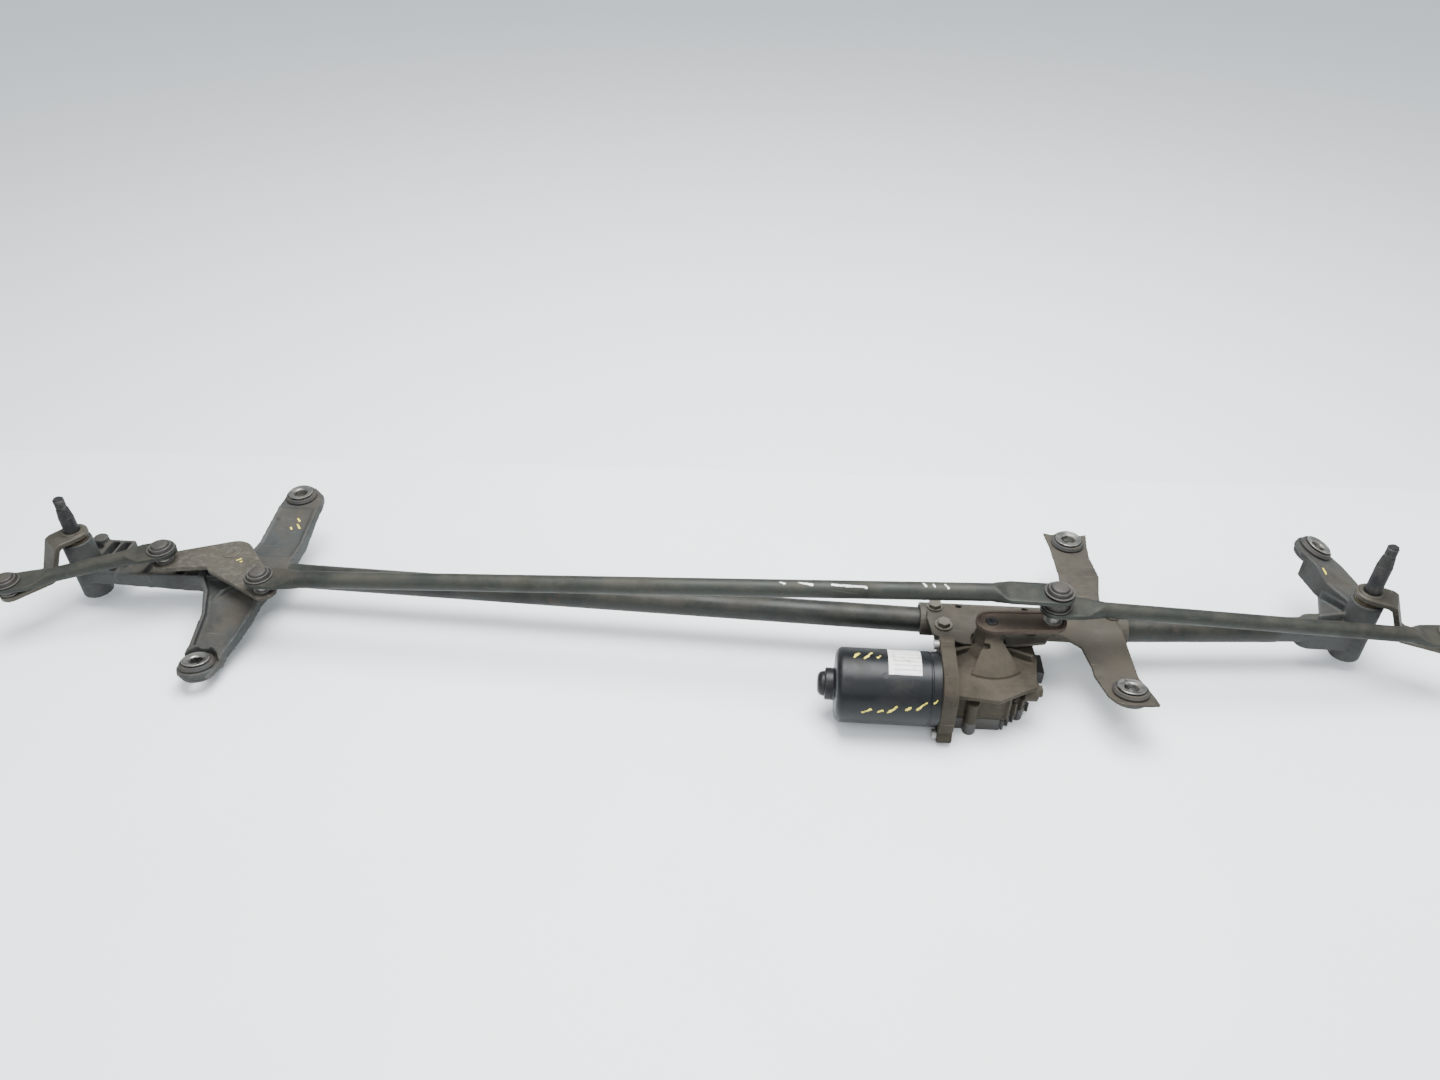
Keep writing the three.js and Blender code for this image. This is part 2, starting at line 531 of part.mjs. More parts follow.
// ---------------------------------------------------------------- motor
function motor() {
  const { y, z, radius, left, right, boss, bossLeft } = MOTOR;
  const can = turned([
    [0, bossLeft], [boss - 2, bossLeft], [boss, bossLeft + 2], [boss, left - 2], [radius - 6, left],
    [radius - 1, left + 4], [radius, left + 9], [radius, right], [radius - 2, right], [radius - 2, left + 8],
    [radius - 7, left + 2], [boss - 2.5, left], [boss - 2.5, bossLeft + 3], [0, bossLeft + 3],
  ], 0, 0, 26);
  addMesh('motor_can', alongX(can, y, z), CAN_PAINT);

  const sector = new THREE.Shape();
  sector.absarc(0, 0, radius - 2.8, rad(-60), rad(60), false);
  sector.absarc(0, 0, radius - 8, rad(60), rad(-60), true);
  sector.closePath();
  for (const [name, turn] of [['magnet_upper', 180], ['magnet_lower', 0]]) {
    const shell = plate(sector, left + 20, left + 64, 10).rotateZ(rad(turn));
    addMesh(name, alongX(shell, y, z), FERRITE);
  }

  const core = new THREE.Shape();
  const poles = 10;
  for (let k = 0; k < poles; k += 1) {
    const a = (360 / poles) * k;
    core.absarc(0, 0, 23, rad(a - 14), rad(a + 14), false);
    core.absarc(0, 0, 15, rad(a + 16), rad(a + 20), false);
  }
  core.closePath();
  const stack = cut(plate(core, left + 22, left + 62, 2), disc(4.5, 0, 300, 0, 0, 14));
  addMesh('armature_core', alongX(stack, y, z), STEEL);
  addMesh('commutator', alongX(ring(11, 4.3, left + 66, left + 82), y, z), COPPER);

  const shaft = [[0, bossLeft + 5], [4, bossLeft + 5], [4, right + 26]];
  for (let x = right + 27; x < right + 60; x += 5) {
    shaft.push([4.2, x], [WORM_R, x + 1.6], [WORM_R, x + 3], [4.2, x + 4.6]);
  }
  shaft.push([3.4, right + 62], [3.4, right + 66], [0, right + 66]);
  addMesh('worm_shaft', alongX(turned(shaft, 0, 0, 10), y, z), ZINC);

  const brushDisc = ring(radius - 2.6, 13.5, left + 70, left + 74, 0, 0, 24);
  const holders = [60, 180, 300].map((a) => block(13.5, 24, -4, 4, left + 72, left + 80).rotateZ(rad(a)));
  addMesh('brush_plate', alongX(join(brushDisc, ...holders), y, z), PLASTIC);
}

// ---------------------------------------------------------------- gearbox
const CASE = { left: MOTOR.right + GAP, flange: 229, top: 48, bottom: 14, neckTop: 74.5 };
const CHAMBER_R = WHEEL_R + 4.5;
const FLANGE_SCREWS = [{ y: -73.5, z: 64 }, { y: -126.5, z: 8.5 }];
const WORM_BOX = [[228, -111], [272, -111], [287, -97], [300, -85], [300, -57], [228, -57]];
const WORM_LID = [[228, -118], [266, -122], [299, -103], [304, -68], [303, -50], [228, -50]];

function flangeShape() {
  const shape = new THREE.Shape();
  const { z } = MOTOR;
  const corner = 20;
  const [y0, y1, z0, z1] = [-33.5, 35, 3 - z, 70 - z];
  shape.absarc(y1 - corner, z1 - corner, corner, 0, Math.PI / 2, false);
  shape.absarc(y0 + corner, z1 - corner, corner, Math.PI / 2, Math.PI, false);
  shape.absarc(y0 + corner, z0 + corner, corner, Math.PI, 1.5 * Math.PI, false);
  shape.absarc(y1 - corner, z0 + corner, corner, 1.5 * Math.PI, 2 * Math.PI, false);
  shape.closePath();
  return shape;
}

// Plate in the YZ plane, given in (y, z) about the motor's axis.
function flangePlate(shape, x0, x1) {
  return plate(shape, x0, x1, 5).rotateZ(Math.PI / 2).rotateY(Math.PI / 2)
    .translate(0, MOTOR.y, MOTOR.z);
}

function flangeHoles(r) {
  return FLANGE_SCREWS.map((s) => alongX(disc(r, 200, 260, 0, 0, 16), s.y, s.z));
}

function gearbox() {
  const { y, z, radius, right } = MOTOR;
  const axle = { x: CRANK.x, y: CRANK.y };
  const ears = FLANGE_SCREWS.map((s) => alongX(disc(7.5, CASE.left, CASE.flange, 0, 0, 18), s.y, s.z));
  const flange = join(flangePlate(flangeShape(), CASE.left, CASE.flange), ...ears);
  const box = join(
    plate(polygon(WORM_BOX), CASE.bottom, CASE.top - 2),
    plate(polygon(WORM_LID), CASE.top - 4, CASE.top),
    disc(CHAMBER_R, CASE.bottom, CASE.top, axle.x, axle.y, 26),
  );
  const neck = turned([[0, 40], [30, 40], [30, CASE.top], [21, CASE.top + 2], [14, 60], [12, 68],
    [12, CASE.neckTop], [0, CASE.neckTop]], axle.x, axle.y, 22);
  const rays = [-116, -99, -82, -65, -49].map((a) => [46 * Math.cos(rad(a)), 46 * Math.sin(rad(a))]);
  const wedge = polygon([[0, 0], ...rays]);
  const fan = common(
    turned([[0, 44], [39.5, 44], [39.5, CASE.top + 2], [12.5, 70], [0, 70]], 0, 0, 40),
    plate(wedge, 40, 80),
  ).translate(axle.x, axle.y, 0);
  const endBoss = alongX(join(disc(9, 282, 302, 0, 0, 20), disc(5.5, 300, 306, 0, 0, 6)), -97, 37);
  const post = disc(5.5, CASE.bottom, CASE.top - 12, 246, -113, 18);
  const fins = [[276, -109], [283, -103], [290, -96.5]].map(([fx, fy]) => (
    block(-1.5, 1.5, -4, 3, CASE.bottom, 40).rotateZ(rad(-135)).translate(fx, fy, 0)));
  const towers = CASE_BOLTS.map((b) => disc(7, 40, PLATE_TOP - SADDLE.sheet - GAP, b.x, b.y, 16));
  const ribs = [202, 338].map((a) => (
    block(10, 40, -1.6, 1.6, 44, 56).rotateZ(rad(a)).translate(axle.x, axle.y, 0)));
  const plateRoom = cut(block(200, 330, -64, 10, PLATE_TOP - SADDLE.sheet - GAP, 72),
    disc(13.5, 0, 100, axle.x, axle.y));
  const saddleRoom = alongX(disc(SADDLE.inner + SADDLE.sheet + 0.5, 190, 340, 0, 0, 24), SADDLE.y, TUBE.z);
  const top = cut(join(neck, fan, ...ribs, ...towers), saddleRoom);
  const outer = cut(join(flange, box, endBoss, post, ...fins, top), plateRoom);
  const hollow = disc(WHEEL_R + 2, 0, 44, axle.x, axle.y, 26);
  const tunnel = alongX(disc(WORM_R + 3, 212, 290), y, z);
  const bore = disc(6 + GAP, 0, 90, axle.x, axle.y);
  const taps = CASE_BOLTS.map((b) => disc(3.4, 44.8, 70, b.x, b.y, 12));
  const canRoom = alongX(disc(radius + 0.6, 190, right + GAP, 0, 0, 32), y, z);
  const screwRoom = FLANGE_SCREWS.map((s) => alongX(disc(5, 200, right + GAP, 0, 0, 16), s.y, s.z));
  const housing = cut(outer, hollow, tunnel, bore, canRoom, ...screwRoom, ...taps, ...flangeHoles(3.2));
  addMesh('gear_housing', housing, GEARCASE);

  FLANGE_SCREWS.forEach((s, k) => {
    const head = disc(4.2, right - 4, right, 0, 0, 20);
    const screw = join(head, disc(2.9, right - 1, CASE.flange - 1, 0, 0, 16));
    addMesh(`flange_screw_${k + 1}`, alongX(screw, s.y, s.z), ZINC);
  });

  const teeth = WHEEL_TEETH;
  const wheelOutline = new THREE.Shape();
  for (let k = 0; k < teeth; k += 1) {
    const a = (2 * Math.PI * k) / teeth;
    const valley = a + Math.PI / teeth;
    if (k === 0) wheelOutline.moveTo(WHEEL_R, 0);
    else wheelOutline.lineTo(WHEEL_R * Math.cos(a), WHEEL_R * Math.sin(a));
    wheelOutline.lineTo((WHEEL_R - 2) * Math.cos(valley), (WHEEL_R - 2) * Math.sin(valley));
  }
  const wheel = cut(plate(wheelOutline, 31, 41), disc(6 + GAP, 0, 90));
  addMesh('worm_wheel', wheel.translate(axle.x, axle.y, 0), NYLON);

  const lid = CASE.bottom - GAP;
  const tray = cut(
    join(disc(CHAMBER_R, 0, lid, axle.x, axle.y, 32), plate(polygon(WORM_BOX), 0, lid),
      disc(5.5, 0, lid, 246, -113, 18), disc(5, 0, lid, 290, -93, 16)),
    disc(WHEEL_R + 2, 3, 30, axle.x, axle.y, 32),
  );
  const plug = cut(block(290, 320, -50, -26, 0, lid), disc(CHAMBER_R - 1, -5, 40, axle.x, axle.y));
  const socket = block(303, 330, -47.5, -28.5, 2.5, CASE.bottom - 2.5);
  const flangeRoom = block(CASE.left - 4, CASE.flange + GAP, -140, -40, 2, 80);
  addMesh('gearbox_cover', cut(join(tray, plug), socket, canRoom, flangeRoom, ...screwRoom), PLASTIC);
}

// ---------------------------------------------------------------- motor crank
function motorCrank() {
  const axle = { x: CRANK.x, y: CRANK.y };
  const pin = polar(CRANK, CRANK);
  const { bottom, plate: top, rim } = CRANK_Z;
  const dish = cut(slot(axle, 14, pin, 12.5, bottom, rim), slot(axle, 11, pin, 9.7, top, rim + 5));
  const hub = disc(8.3, bottom, top + 0.6, axle.x, axle.y);
  const boss = disc(8, bottom, rim, pin.x, pin.y, 24);
  addMesh('crank_arm', cut(join(dish, hub, boss), disc(5.3, 0, 100, axle.x, axle.y)), STEEL);
  const shaft = turned([[0, 15], [6, 15], [6, 74], [5, 74.6], [5, rim], [0, rim]], axle.x, axle.y, 24);
  addMesh('output_shaft', shaft, ZINC);
}

// ---------------------------------------------------------------- bell crank
function bellCrank() {
  const long = polar(PIVOT, BELL_LONG);
  const short = polar(PIVOT, BELL_SHORT);
  const low = BELL_Z - 5.2;
  const web = { x: PIVOT.x - 2, y: PIVOT.y - 14 };
  const outline = (inset, z0, z1) => join(
    slot(PIVOT, 19 - inset, long, 11.5 - inset, z0, z1),
    slot(PIVOT, 19 - inset, short, 12 - inset, z0, z1),
    slot(web, 16 - inset, long, 11 - inset, z0, z1),
  );
  const shell = cut(outline(0, low, BELL_Z), outline(2.5, low - 2, BELL_Z - 2.6));
  const hub = disc(13, low + 0.2, BELL_Z, PIVOT.x, PIVOT.y);
  const body = cut(join(shell, hub), disc(SHAFT_R + GAP, 0, 90, PIVOT.x, PIVOT.y));
  addMesh('bell_crank_plate', body, STEEL);
  const pin = turned([[0, 7], [SHAFT_R, 7], [SHAFT_R, BELL_Z + GAP], [8.5, BELL_Z + GAP], [8.5, BELL_Z + 1.2],
    [5.5, BELL_Z + 2], [0, BELL_Z + 2]], PIVOT.x, PIVOT.y);
  addMesh('bell_crank_pin', pin, ZINC);
  circlip('pivot_circlip', PIVOT, 9.6);
  ballStud('bell_crank_ball', long, BELL_Z + GAP, 74.5);
}

// ---------------------------------------------------------------- assembly
const crankPin = polar(CRANK, CRANK);
const bellLong = polar(PIVOT, BELL_LONG);
const bellShort = polar(PIVOT, BELL_SHORT);
const leverLeft = polar(LEFT_SPINDLE, LEVER_LEFT);
const leverRight = polar(RIGHT_SPINDLE, LEVER_RIGHT);
const PIN_LOW_Z = 95.5;                             // ball of the right link on the crank pin
const PIN_HIGH_Z = 110.8;                          // ball of the drag link above it

leftBracket();
rightBracket();
frameTube('frame_tube_left', TUBE_LEFT, TUBE_BOLTS[0]);
frameTube('frame_tube_right', TUBE_RIGHT, TUBE_BOLTS[1]);
motorBracket();
FEET.forEach(foot);
motor();
gearbox();
motorCrank();
bellCrank();

for (const [side, spindle, arm, ball] of [
  ['left', LEFT_SPINDLE, LEVER_LEFT, leverLeft],
  ['right', RIGHT_SPINDLE, LEVER_RIGHT, leverRight],
]) {
  const endZ = spindle.ballHeight - 10 - STRIP;
  spindleShaft(`${side}_spindle_shaft`, spindle);
  lever(`${side}_lever`, spindle, arm, spindle.eye, endZ);
  circlip(`${side}_spindle_circlip`, spindle, HOUSING_BOTTOM + 3.4);
  ballStud(`${side}_lever_ball`, ball, endZ + STRIP + GAP, spindle.ballHeight);
}

link('drag_link_rod', bellLong, crankPin,
  { rodR: 8, flatFrom: 16, flatTo: 40, zFrom: 74.5, zTo: PIN_HIGH_Z - 1 });
ballSocket('drag_link_socket_left', bellLong, 74.5);
ballSocket('drag_link_socket_right', crankPin, PIN_HIGH_Z);
ballStud('crank_pin_upper', crankPin, PIN_LOW_Z + 8.4 + GAP, PIN_HIGH_Z, 1);

link('right_link_rod', crankPin, leverRight,
  { rodR: 7, flatFrom: 20, flatTo: 22, zFrom: PIN_LOW_Z, zTo: RIGHT_SPINDLE.ballHeight });
ballSocket('right_link_socket_left', crankPin, PIN_LOW_Z, true);
ballSocket('right_link_socket_right', leverRight, RIGHT_SPINDLE.ballHeight);
ballStud('crank_pin_lower', crankPin, CRANK_Z.rim + GAP, PIN_LOW_Z);

link('left_link_rod', leverLeft, bellShort,
  { rodR: 7, flatFrom: 18, flatTo: 18, zFrom: LEFT_SPINDLE.ballHeight, zTo: 72.5 });
ballSocket('left_link_socket_left', leverLeft, LEFT_SPINDLE.ballHeight);
ballSocket('left_link_socket_right', bellShort, 72.5);
ballStud('left_link_ball', bellShort, BELL_Z + GAP, 72.5);

// The origin goes to the middle of the footprint, on the table.
const box = new THREE.Box3().setFromObject(group);
const middle = box.getCenter(new THREE.Vector3());
group.position.set(-middle.x, -middle.y, -box.min.z);

export default group;
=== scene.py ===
"""Opposed windshield wiper linkage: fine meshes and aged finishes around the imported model."""
import json
import math

import bmesh
import bpy
from bpy.props import FloatProperty, FloatVectorProperty, IntProperty, PointerProperty
from mathutils import Matrix, Vector


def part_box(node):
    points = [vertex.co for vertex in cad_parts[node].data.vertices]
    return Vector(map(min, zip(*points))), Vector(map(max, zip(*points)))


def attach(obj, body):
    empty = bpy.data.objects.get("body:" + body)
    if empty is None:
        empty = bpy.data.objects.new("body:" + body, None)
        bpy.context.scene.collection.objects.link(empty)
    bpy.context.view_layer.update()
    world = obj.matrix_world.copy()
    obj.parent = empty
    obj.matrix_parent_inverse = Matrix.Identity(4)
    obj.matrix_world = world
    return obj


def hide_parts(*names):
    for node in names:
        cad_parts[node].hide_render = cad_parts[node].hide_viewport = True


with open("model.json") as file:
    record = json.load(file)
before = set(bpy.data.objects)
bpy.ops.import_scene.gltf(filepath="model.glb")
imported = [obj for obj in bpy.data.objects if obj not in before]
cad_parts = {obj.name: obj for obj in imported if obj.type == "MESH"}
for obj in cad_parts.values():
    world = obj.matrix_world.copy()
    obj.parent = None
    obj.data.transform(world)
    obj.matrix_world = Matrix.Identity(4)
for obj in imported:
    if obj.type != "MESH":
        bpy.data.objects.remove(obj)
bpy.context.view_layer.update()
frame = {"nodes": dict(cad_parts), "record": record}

bl_info = {
    "name": "Wiper Linkage",
    "version": (1, 0, 0),
    "blender": (4, 5, 0),
    "location": "View3D > Sidebar > Wiper",
    "description": "Builds the visible pieces and finishes of a wiper linkage",
    "category": "Add Mesh",
}

MM = 0.001
UP = Vector((0, 0, 1))
JOINTS = {j["name"]: Vector(j["pos_m"]) for j in frame["record"]["behaviour"]["joints"]}
MOUNTS = {m["name"]: m for m in frame["record"]["mounts"]}
# thickness of the pad that each rubber foot sits in, in millimetres
FEET = {"left_rear": 6, "left_front": 6, "right_rear": 3, "right_front": 3, "right_end": 6}
FLANGE_ABOVE_PAD = 6.7                  # top of a sleeve's flange over the pad, in millimetres
MOUNT_REACH = 9                         # from the sleeve's axis to the mount on its flange, in millimetres
THREAD_START = 9.8                      # from a spindle's tip down to its thread, in millimetres
KEPT_FACES = 0.45                       # share of the faces that a softened piece keeps
BUMP_STRENGTH = 0.8

SEAM_ANGLE, SEAM_SPREAD = 302, 4.0      # groove of the rolled seam round a tube, in degrees
LIP_ANGLE, LIP_SPREAD = 11, 5.0         # the seam's raised lip, from the groove, in degrees
LIP_HEIGHT = 0.4 * MM
TUBE_WALL = 1.8 * MM
LINK_TIP = 13.5 * MM                    # radius of a link's flat end
LINK_RAMP = 22 * MM                     # length over which a link goes from flat to round
LINK_HALF_STRIP = 2.5 * MM
LABEL = (44 * MM, 72 * MM)              # sides of the motor's label, from the can's shoulder

CHALK = (0.6, 0.6, 0.58)
CRANK_BROWN = (0.05, 0.036, 0.027)
TABLE_EDGE = (-23 * MM, 273.5 * MM)     # a point where the table meets the board behind it
TABLE_TURN = math.radians(1.456)
LAMP_COLOUR = (0.97, 0.985, 1.0)
LAMPS = (                               # name, place, aim, width, watts
    ("key_light", (0.1, 0.12, 1.5), (0, 0, 0), 1.0, 72),
    ("front_light", (-0.4, -1.7, 1.6), (0, 0, 0), 2.0, 34),
    ("side_light", (1.9, -0.5, 1.2), (0.3, 0, 0), 1.2, 12),
)
WORLD_COLOUR, WORLD_STRENGTH = (0.86, 0.93, 0.97, 1), 0.95
EYE = (0.0775, -0.7709, 0.715)          # in plan from the middle between the spindles, and height
EYE_PITCH, EYE_YAW = math.radians(52), math.radians(4.3)
LENS, SENSOR = 27, 36

MATERIALS = {}


# -------- places read from the frame
def low(node):
    return Vector(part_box(node)[0])


def high(node):
    return Vector(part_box(node)[1])


def middle(node):
    return (low(node) + high(node)) / 2


SPINDLES = {"left": JOINTS["left_spindle_turn"], "right": JOINTS["right_spindle_turn"]}
CENTRE = (SPINDLES["left"] + SPINDLES["right"]) / 2


def spot(x, y):
    """Plan position in metres of a point given in millimetres from the middle between the spindles."""
    return CENTRE.x + x * MM, CENTRE.y + y * MM


PIVOT = JOINTS["bell_crank_turn"]
AXLE = JOINTS["motor_crank"]
MOTOR = JOINTS["armature_spin"]
CAN_RADIUS = MOTOR.z - low("motor_can").z
CAN_SHOULDER = low("motor_can").x + 15 * MM
BALLS = {f"{link}_socket_{side}": (link, middle(f"{link}_socket_{side}"))
         for link in ("drag_link", "right_link", "left_link") for side in ("left", "right")}


# -------- shader graphs as expressions
class Value:
    """A shader socket that arithmetic works on."""

    def __init__(self, graph, socket):
        self.graph = graph
        self.socket = socket

    def _math(self, operation, *others):
        return self.graph.node("ShaderNodeMath", {"operation": operation}, [self, *others])

    def __add__(self, other):
        return self._math("ADD", other)

    __radd__ = __add__

    def __mul__(self, other):
        return self._math("MULTIPLY", other)

    __rmul__ = __mul__

    def __sub__(self, other):
        return self._math("SUBTRACT", other)

    def __rsub__(self, other):
        return self.graph.node("ShaderNodeMath", {"operation": "SUBTRACT"}, [other, self])

    def __truediv__(self, other):
        return self._math("DIVIDE", other)

    def __pow__(self, other):
        return self._math("POWER", other)

    def at_least(self, other):
        return self._math("MAXIMUM", other)

    def at_most(self, other):
        return self._math("MINIMUM", other)

    def step(self, start, end):
        """Rises smoothly from 0 at start to 1 at end."""
        sockets = {"Value": self, "From Min": start, "From Max": end}
        return self.graph.node("ShaderNodeMapRange", {"interpolation_type": "SMOOTHSTEP"}, sockets)


class Graph:
    """Builds one material's nodes."""

    def __init__(self, name):
        self.material = bpy.data.materials.new(f"aged_{name}")
        MATERIALS[name] = self.material
        self.material.use_nodes = True
        self.tree = self.material.node_tree
        self.tree.nodes.clear()
        self.place = self.node("ShaderNodeTexCoord", output="Object")

    def node(self, kind, settings=None, sockets=None, output=0):
        made = self.tree.nodes.new(kind)
        for key, value in (settings or {}).items():
            setattr(made, key, value)
        pairs = sockets.items() if isinstance(sockets, dict) else enumerate(sockets or [])
        for key, value in pairs:
            if isinstance(value, Value):
                self.tree.links.new(value.socket, made.inputs[key])
            else:
                made.inputs[key].default_value = value
        return Value(self, made.outputs[output])

    def noise(self, scale, detail=4, roughness=0.6, stretch=None):
        place = self.place
        if stretch:
            place = self.node("ShaderNodeMapping", sockets={"Vector": place, "Scale": stretch})
        sockets = {"Vector": place, "Scale": scale, "Detail": detail, "Roughness": roughness}
        return self.node("ShaderNodeTexNoise", sockets=sockets)

    def mix(self, mask, first, second):
        sockets = {0: mask, 6: rgba(first), 7: rgba(second)}
        return self.node("ShaderNodeMix", {"data_type": "RGBA"}, sockets, output=2)

    def axis(self, name):
        return self.node("ShaderNodeSeparateXYZ", sockets=[self.place], output=name)

    def facing_up(self):
        """1 on faces that look up, 0 on those that look sideways or down."""
        normal = self.node("ShaderNodeNewGeometry", output="Normal")
        return self.node("ShaderNodeSeparateXYZ", sockets=[normal], output="Z").step(0.1, 0.95)

    def edges(self, start=0.52, end=0.6):
        return self.node("ShaderNodeNewGeometry", output="Pointiness").step(start, end)

    def finish(self, colour, roughness, metallic=0.0, height=None, depth=0.0, gloss=0.5):
        sockets = {"Base Color": rgba(colour), "Roughness": roughness, "Metallic": metallic,
                   "Specular IOR Level": gloss}
        if height is not None:
            bump = {"Height": height, "Distance": depth, "Strength": BUMP_STRENGTH}
            sockets["Normal"] = self.node("ShaderNodeBump", sockets=bump)
        shader = self.node("ShaderNodeBsdfPrincipled", sockets=sockets)
        output = self.tree.nodes.new("ShaderNodeOutputMaterial")
        self.tree.links.new(shader.socket, output.inputs["Surface"])
        return self.material


def rgba(colour):
    return colour if isinstance(colour, Value) else (*colour, 1.0)


def shade(colour, factor):
    return tuple(min(1.0, channel * factor) for channel in colour)


def aged_metal(name, base, look, dust_amount, grain_scale, grain_depth, roughness, metallic, rust,
               dashes=(), paint=None, speckle=0.35):
    """Bare or painted metal with stains, dust on its upper faces, scratches, rubbed edges and rust."""
    g = Graph(name)
    stain = g.noise(14, 5, 0.62).step(0.42, 0.66)
    fine = g.noise(160, 3, 0.6)
    grain = g.noise(grain_scale, 2, 0.5)
    scratch = g.noise(90, 2, 0.7, stretch=(0.25, 5.0, 5.0)).step(0.66, 0.72)
    colour = g.mix(stain * 0.75, base, shade(base, 0.58))
    colour = g.mix(fine.step(0.45, 0.75) * speckle, colour, shade(base, 1.0 + speckle))
    rusty = (g.noise(38, 6, 0.7).step(0.6, 0.7) * rust).at_most(1.0)
    colour = g.mix(rusty, colour, look.rust)
    dust = (g.facing_up() * 0.65 + 0.25) * g.noise(26, 6, 0.68).step(0.34, 0.66) * dust_amount
    colour = g.mix(dust, colour, look.dust)
    worn = (g.edges() * 0.55 + scratch * 0.4).at_most(0.8) * (1 - dust * 0.6)
    colour = g.mix(worn, colour, shade(base, 2.4))
    if dashes:
        colour = marked(g, colour, paint or look.paint, dashes)
    rough = (roughness + stain * 0.12 + dust * 0.3 - worn * 0.18).at_most(0.95)
    metal = (metallic * (1 - dust * 0.85) * (1 - rusty * 0.8)).at_least(0.0)
    height = grain * 0.7 + fine * 0.4 + rusty * 0.5
    g.finish(colour, rough, metal, height, grain_depth, gloss=0.3)


def marked(g, colour, paint, dashes):
    """Adds thin dashes of marking paint, given in plan."""
    wander = (g.noise(170, 3) - 0.5) * (3 * MM)
    x, y = g.axis("X") + wander, g.axis("Y") - wander
    mask = strokes(x, y, dashes, 1.1 * MM) * g.noise(220, 4, 0.7).step(0.32, 0.5)
    return g.mix(mask, colour, paint)


def marks(*points):
    """Dashes in metres from pairs of points given as x, y, x, y in millimetres."""
    return [(spot(x0, y0), spot(x1, y1)) for x0, y0, x1, y1 in points]


def aged_metals(look):
    """Every outer metal: dust, scale and depth of its grain, roughness, bare metal and rust, in that order."""
    dabs = marks((-415, 71, -412, 68), (-413, 64, -410, 60), (-419, 60, -418, 59), (577, 41, 579, 38))
    aged_metal("cast_aluminium", look.casting, look, 0.8, 900, 0.35 * MM, 0.6, 0.5, 0.05, dashes=dabs)
    aged_metal("bell_steel", shade(look.steel, 1.12), look, 0.55, 330, 0.9 * MM, 0.66, 0.4, 0.25, speckle=0.8,
               dashes=marks((-445, -3, -442, -1), (-441, -5, -440, -4.5)))
    aged_metal("sheet_steel", look.steel, look, 0.85, 420, 0.18 * MM, 0.58, 0.6, 0.35)
    chalk = marks((199, -51, 201, -54), (207, -52, 208, -54), (217, -52, 220, -56), (92, -51, 104, -53),
                  (121, -53, 150, -55), (76, -51, 80, -52))
    aged_metal("link_steel", look.link, look, 0.5, 500, 0.2 * MM, 0.5, 0.55, 0.2, dashes=chalk, paint=CHALK)
    aged_metal("tube_paint", look.tube, look, 0.55, 600, 0.15 * MM, 0.42, 0.35, 0.3)
    aged_metal("gear_case", look.gear_case, look, 0.9, 800, 0.4 * MM, 0.66, 0.4, 0.25)
    aged_metal("lever_steel", shade(look.steel, 1.15), look, 0.6, 500, 0.18 * MM, 0.5, 0.65, 0.3)
    aged_metal("crank_steel", CRANK_BROWN, look, 0.6, 420, 0.2 * MM, 0.6, 0.5, 0.4)


def plated_steel(look):
    """Plating gone dull under oil and fine dust."""
    g = Graph("plated_steel")
    cloud = g.noise(60, 4, 0.6)
    ring = g.noise(700, 2, 0.5)
    grime = g.noise(120, 5, 0.7).step(0.44, 0.64) * 0.75
    colour = g.mix(cloud.step(0.35, 0.7) * 0.5, (0.22, 0.215, 0.2), (0.09, 0.085, 0.075))
    colour = g.mix(grime, colour, look.dust)
    rough = 0.2 + cloud * 0.2 + grime * 0.45
    g.finish(colour, rough, 1 - grime * 0.9, ring, 0.06 * MM)


def dark_spindle(look):
    """Hardened spindle steel, black from oil, with bright rubbed edges."""
    g = Graph("spindle_steel")
    cloud = g.noise(90, 4, 0.6)
    worn = g.edges(0.54, 0.66) * 0.4
    colour = g.mix(cloud.step(0.4, 0.7), (0.012, 0.012, 0.013), (0.03, 0.028, 0.026))
    colour = g.mix(worn, colour, (0.07, 0.068, 0.065))
    dusty = g.noise(70, 5, 0.7).step(0.45, 0.68) * 0.35
    colour = g.mix(dusty, colour, shade(look.dust, 0.8))
    g.finish(colour, 0.5 + cloud * 0.2 + dusty * 0.3, 0.55 - dusty, g.noise(600, 2), 0.12 * MM)


def rubber(look):
    g = Graph("grommet_rubber")
    dusty = (g.facing_up() * 0.6 + 0.3) * g.noise(70, 5, 0.7).step(0.36, 0.6)
    colour = g.mix(dusty, (0.014, 0.014, 0.014), shade(look.dust, 0.7))
    g.finish(colour, 0.72 + dusty * 0.2, 0.0, g.noise(500, 3), 0.2 * MM)


def moulded_plastic(look):
    """Dark nylon of the ball sockets and the gearbox cover, greased and dusty."""
    g = Graph("moulded_plastic")
    dusty = (g.facing_up() * 0.6 + 0.35) * g.noise(60, 6, 0.7).step(0.36, 0.62) * 0.75
    colour = g.mix(g.noise(25).step(0.4, 0.7), (0.022, 0.021, 0.019), (0.045, 0.041, 0.034))
    colour = g.mix(dusty, colour, shade(look.dust, 0.8))
    g.finish(colour, 0.55 + dusty * 0.35, 0.0, g.noise(350, 3), 0.25 * MM)


def dusty_cap(look):
    """Pressed caps of the ball joints, dark in the grooves and dusty on top."""
    g = Graph("joint_cap")
    cloud = g.noise(120, 5, 0.7)
    dusty = (g.facing_up() * 0.55 + 0.3) * cloud.step(0.38, 0.62) * 0.8
    worn = g.edges(0.52, 0.6) * 0.5
    colour = g.mix(dusty, (0.03, 0.028, 0.026), look.dust)
    colour = g.mix(worn, colour, (0.2, 0.195, 0.18))
    g.finish(colour, 0.5 + dusty * 0.35, 0.35, g.noise(420, 3), 0.2 * MM)


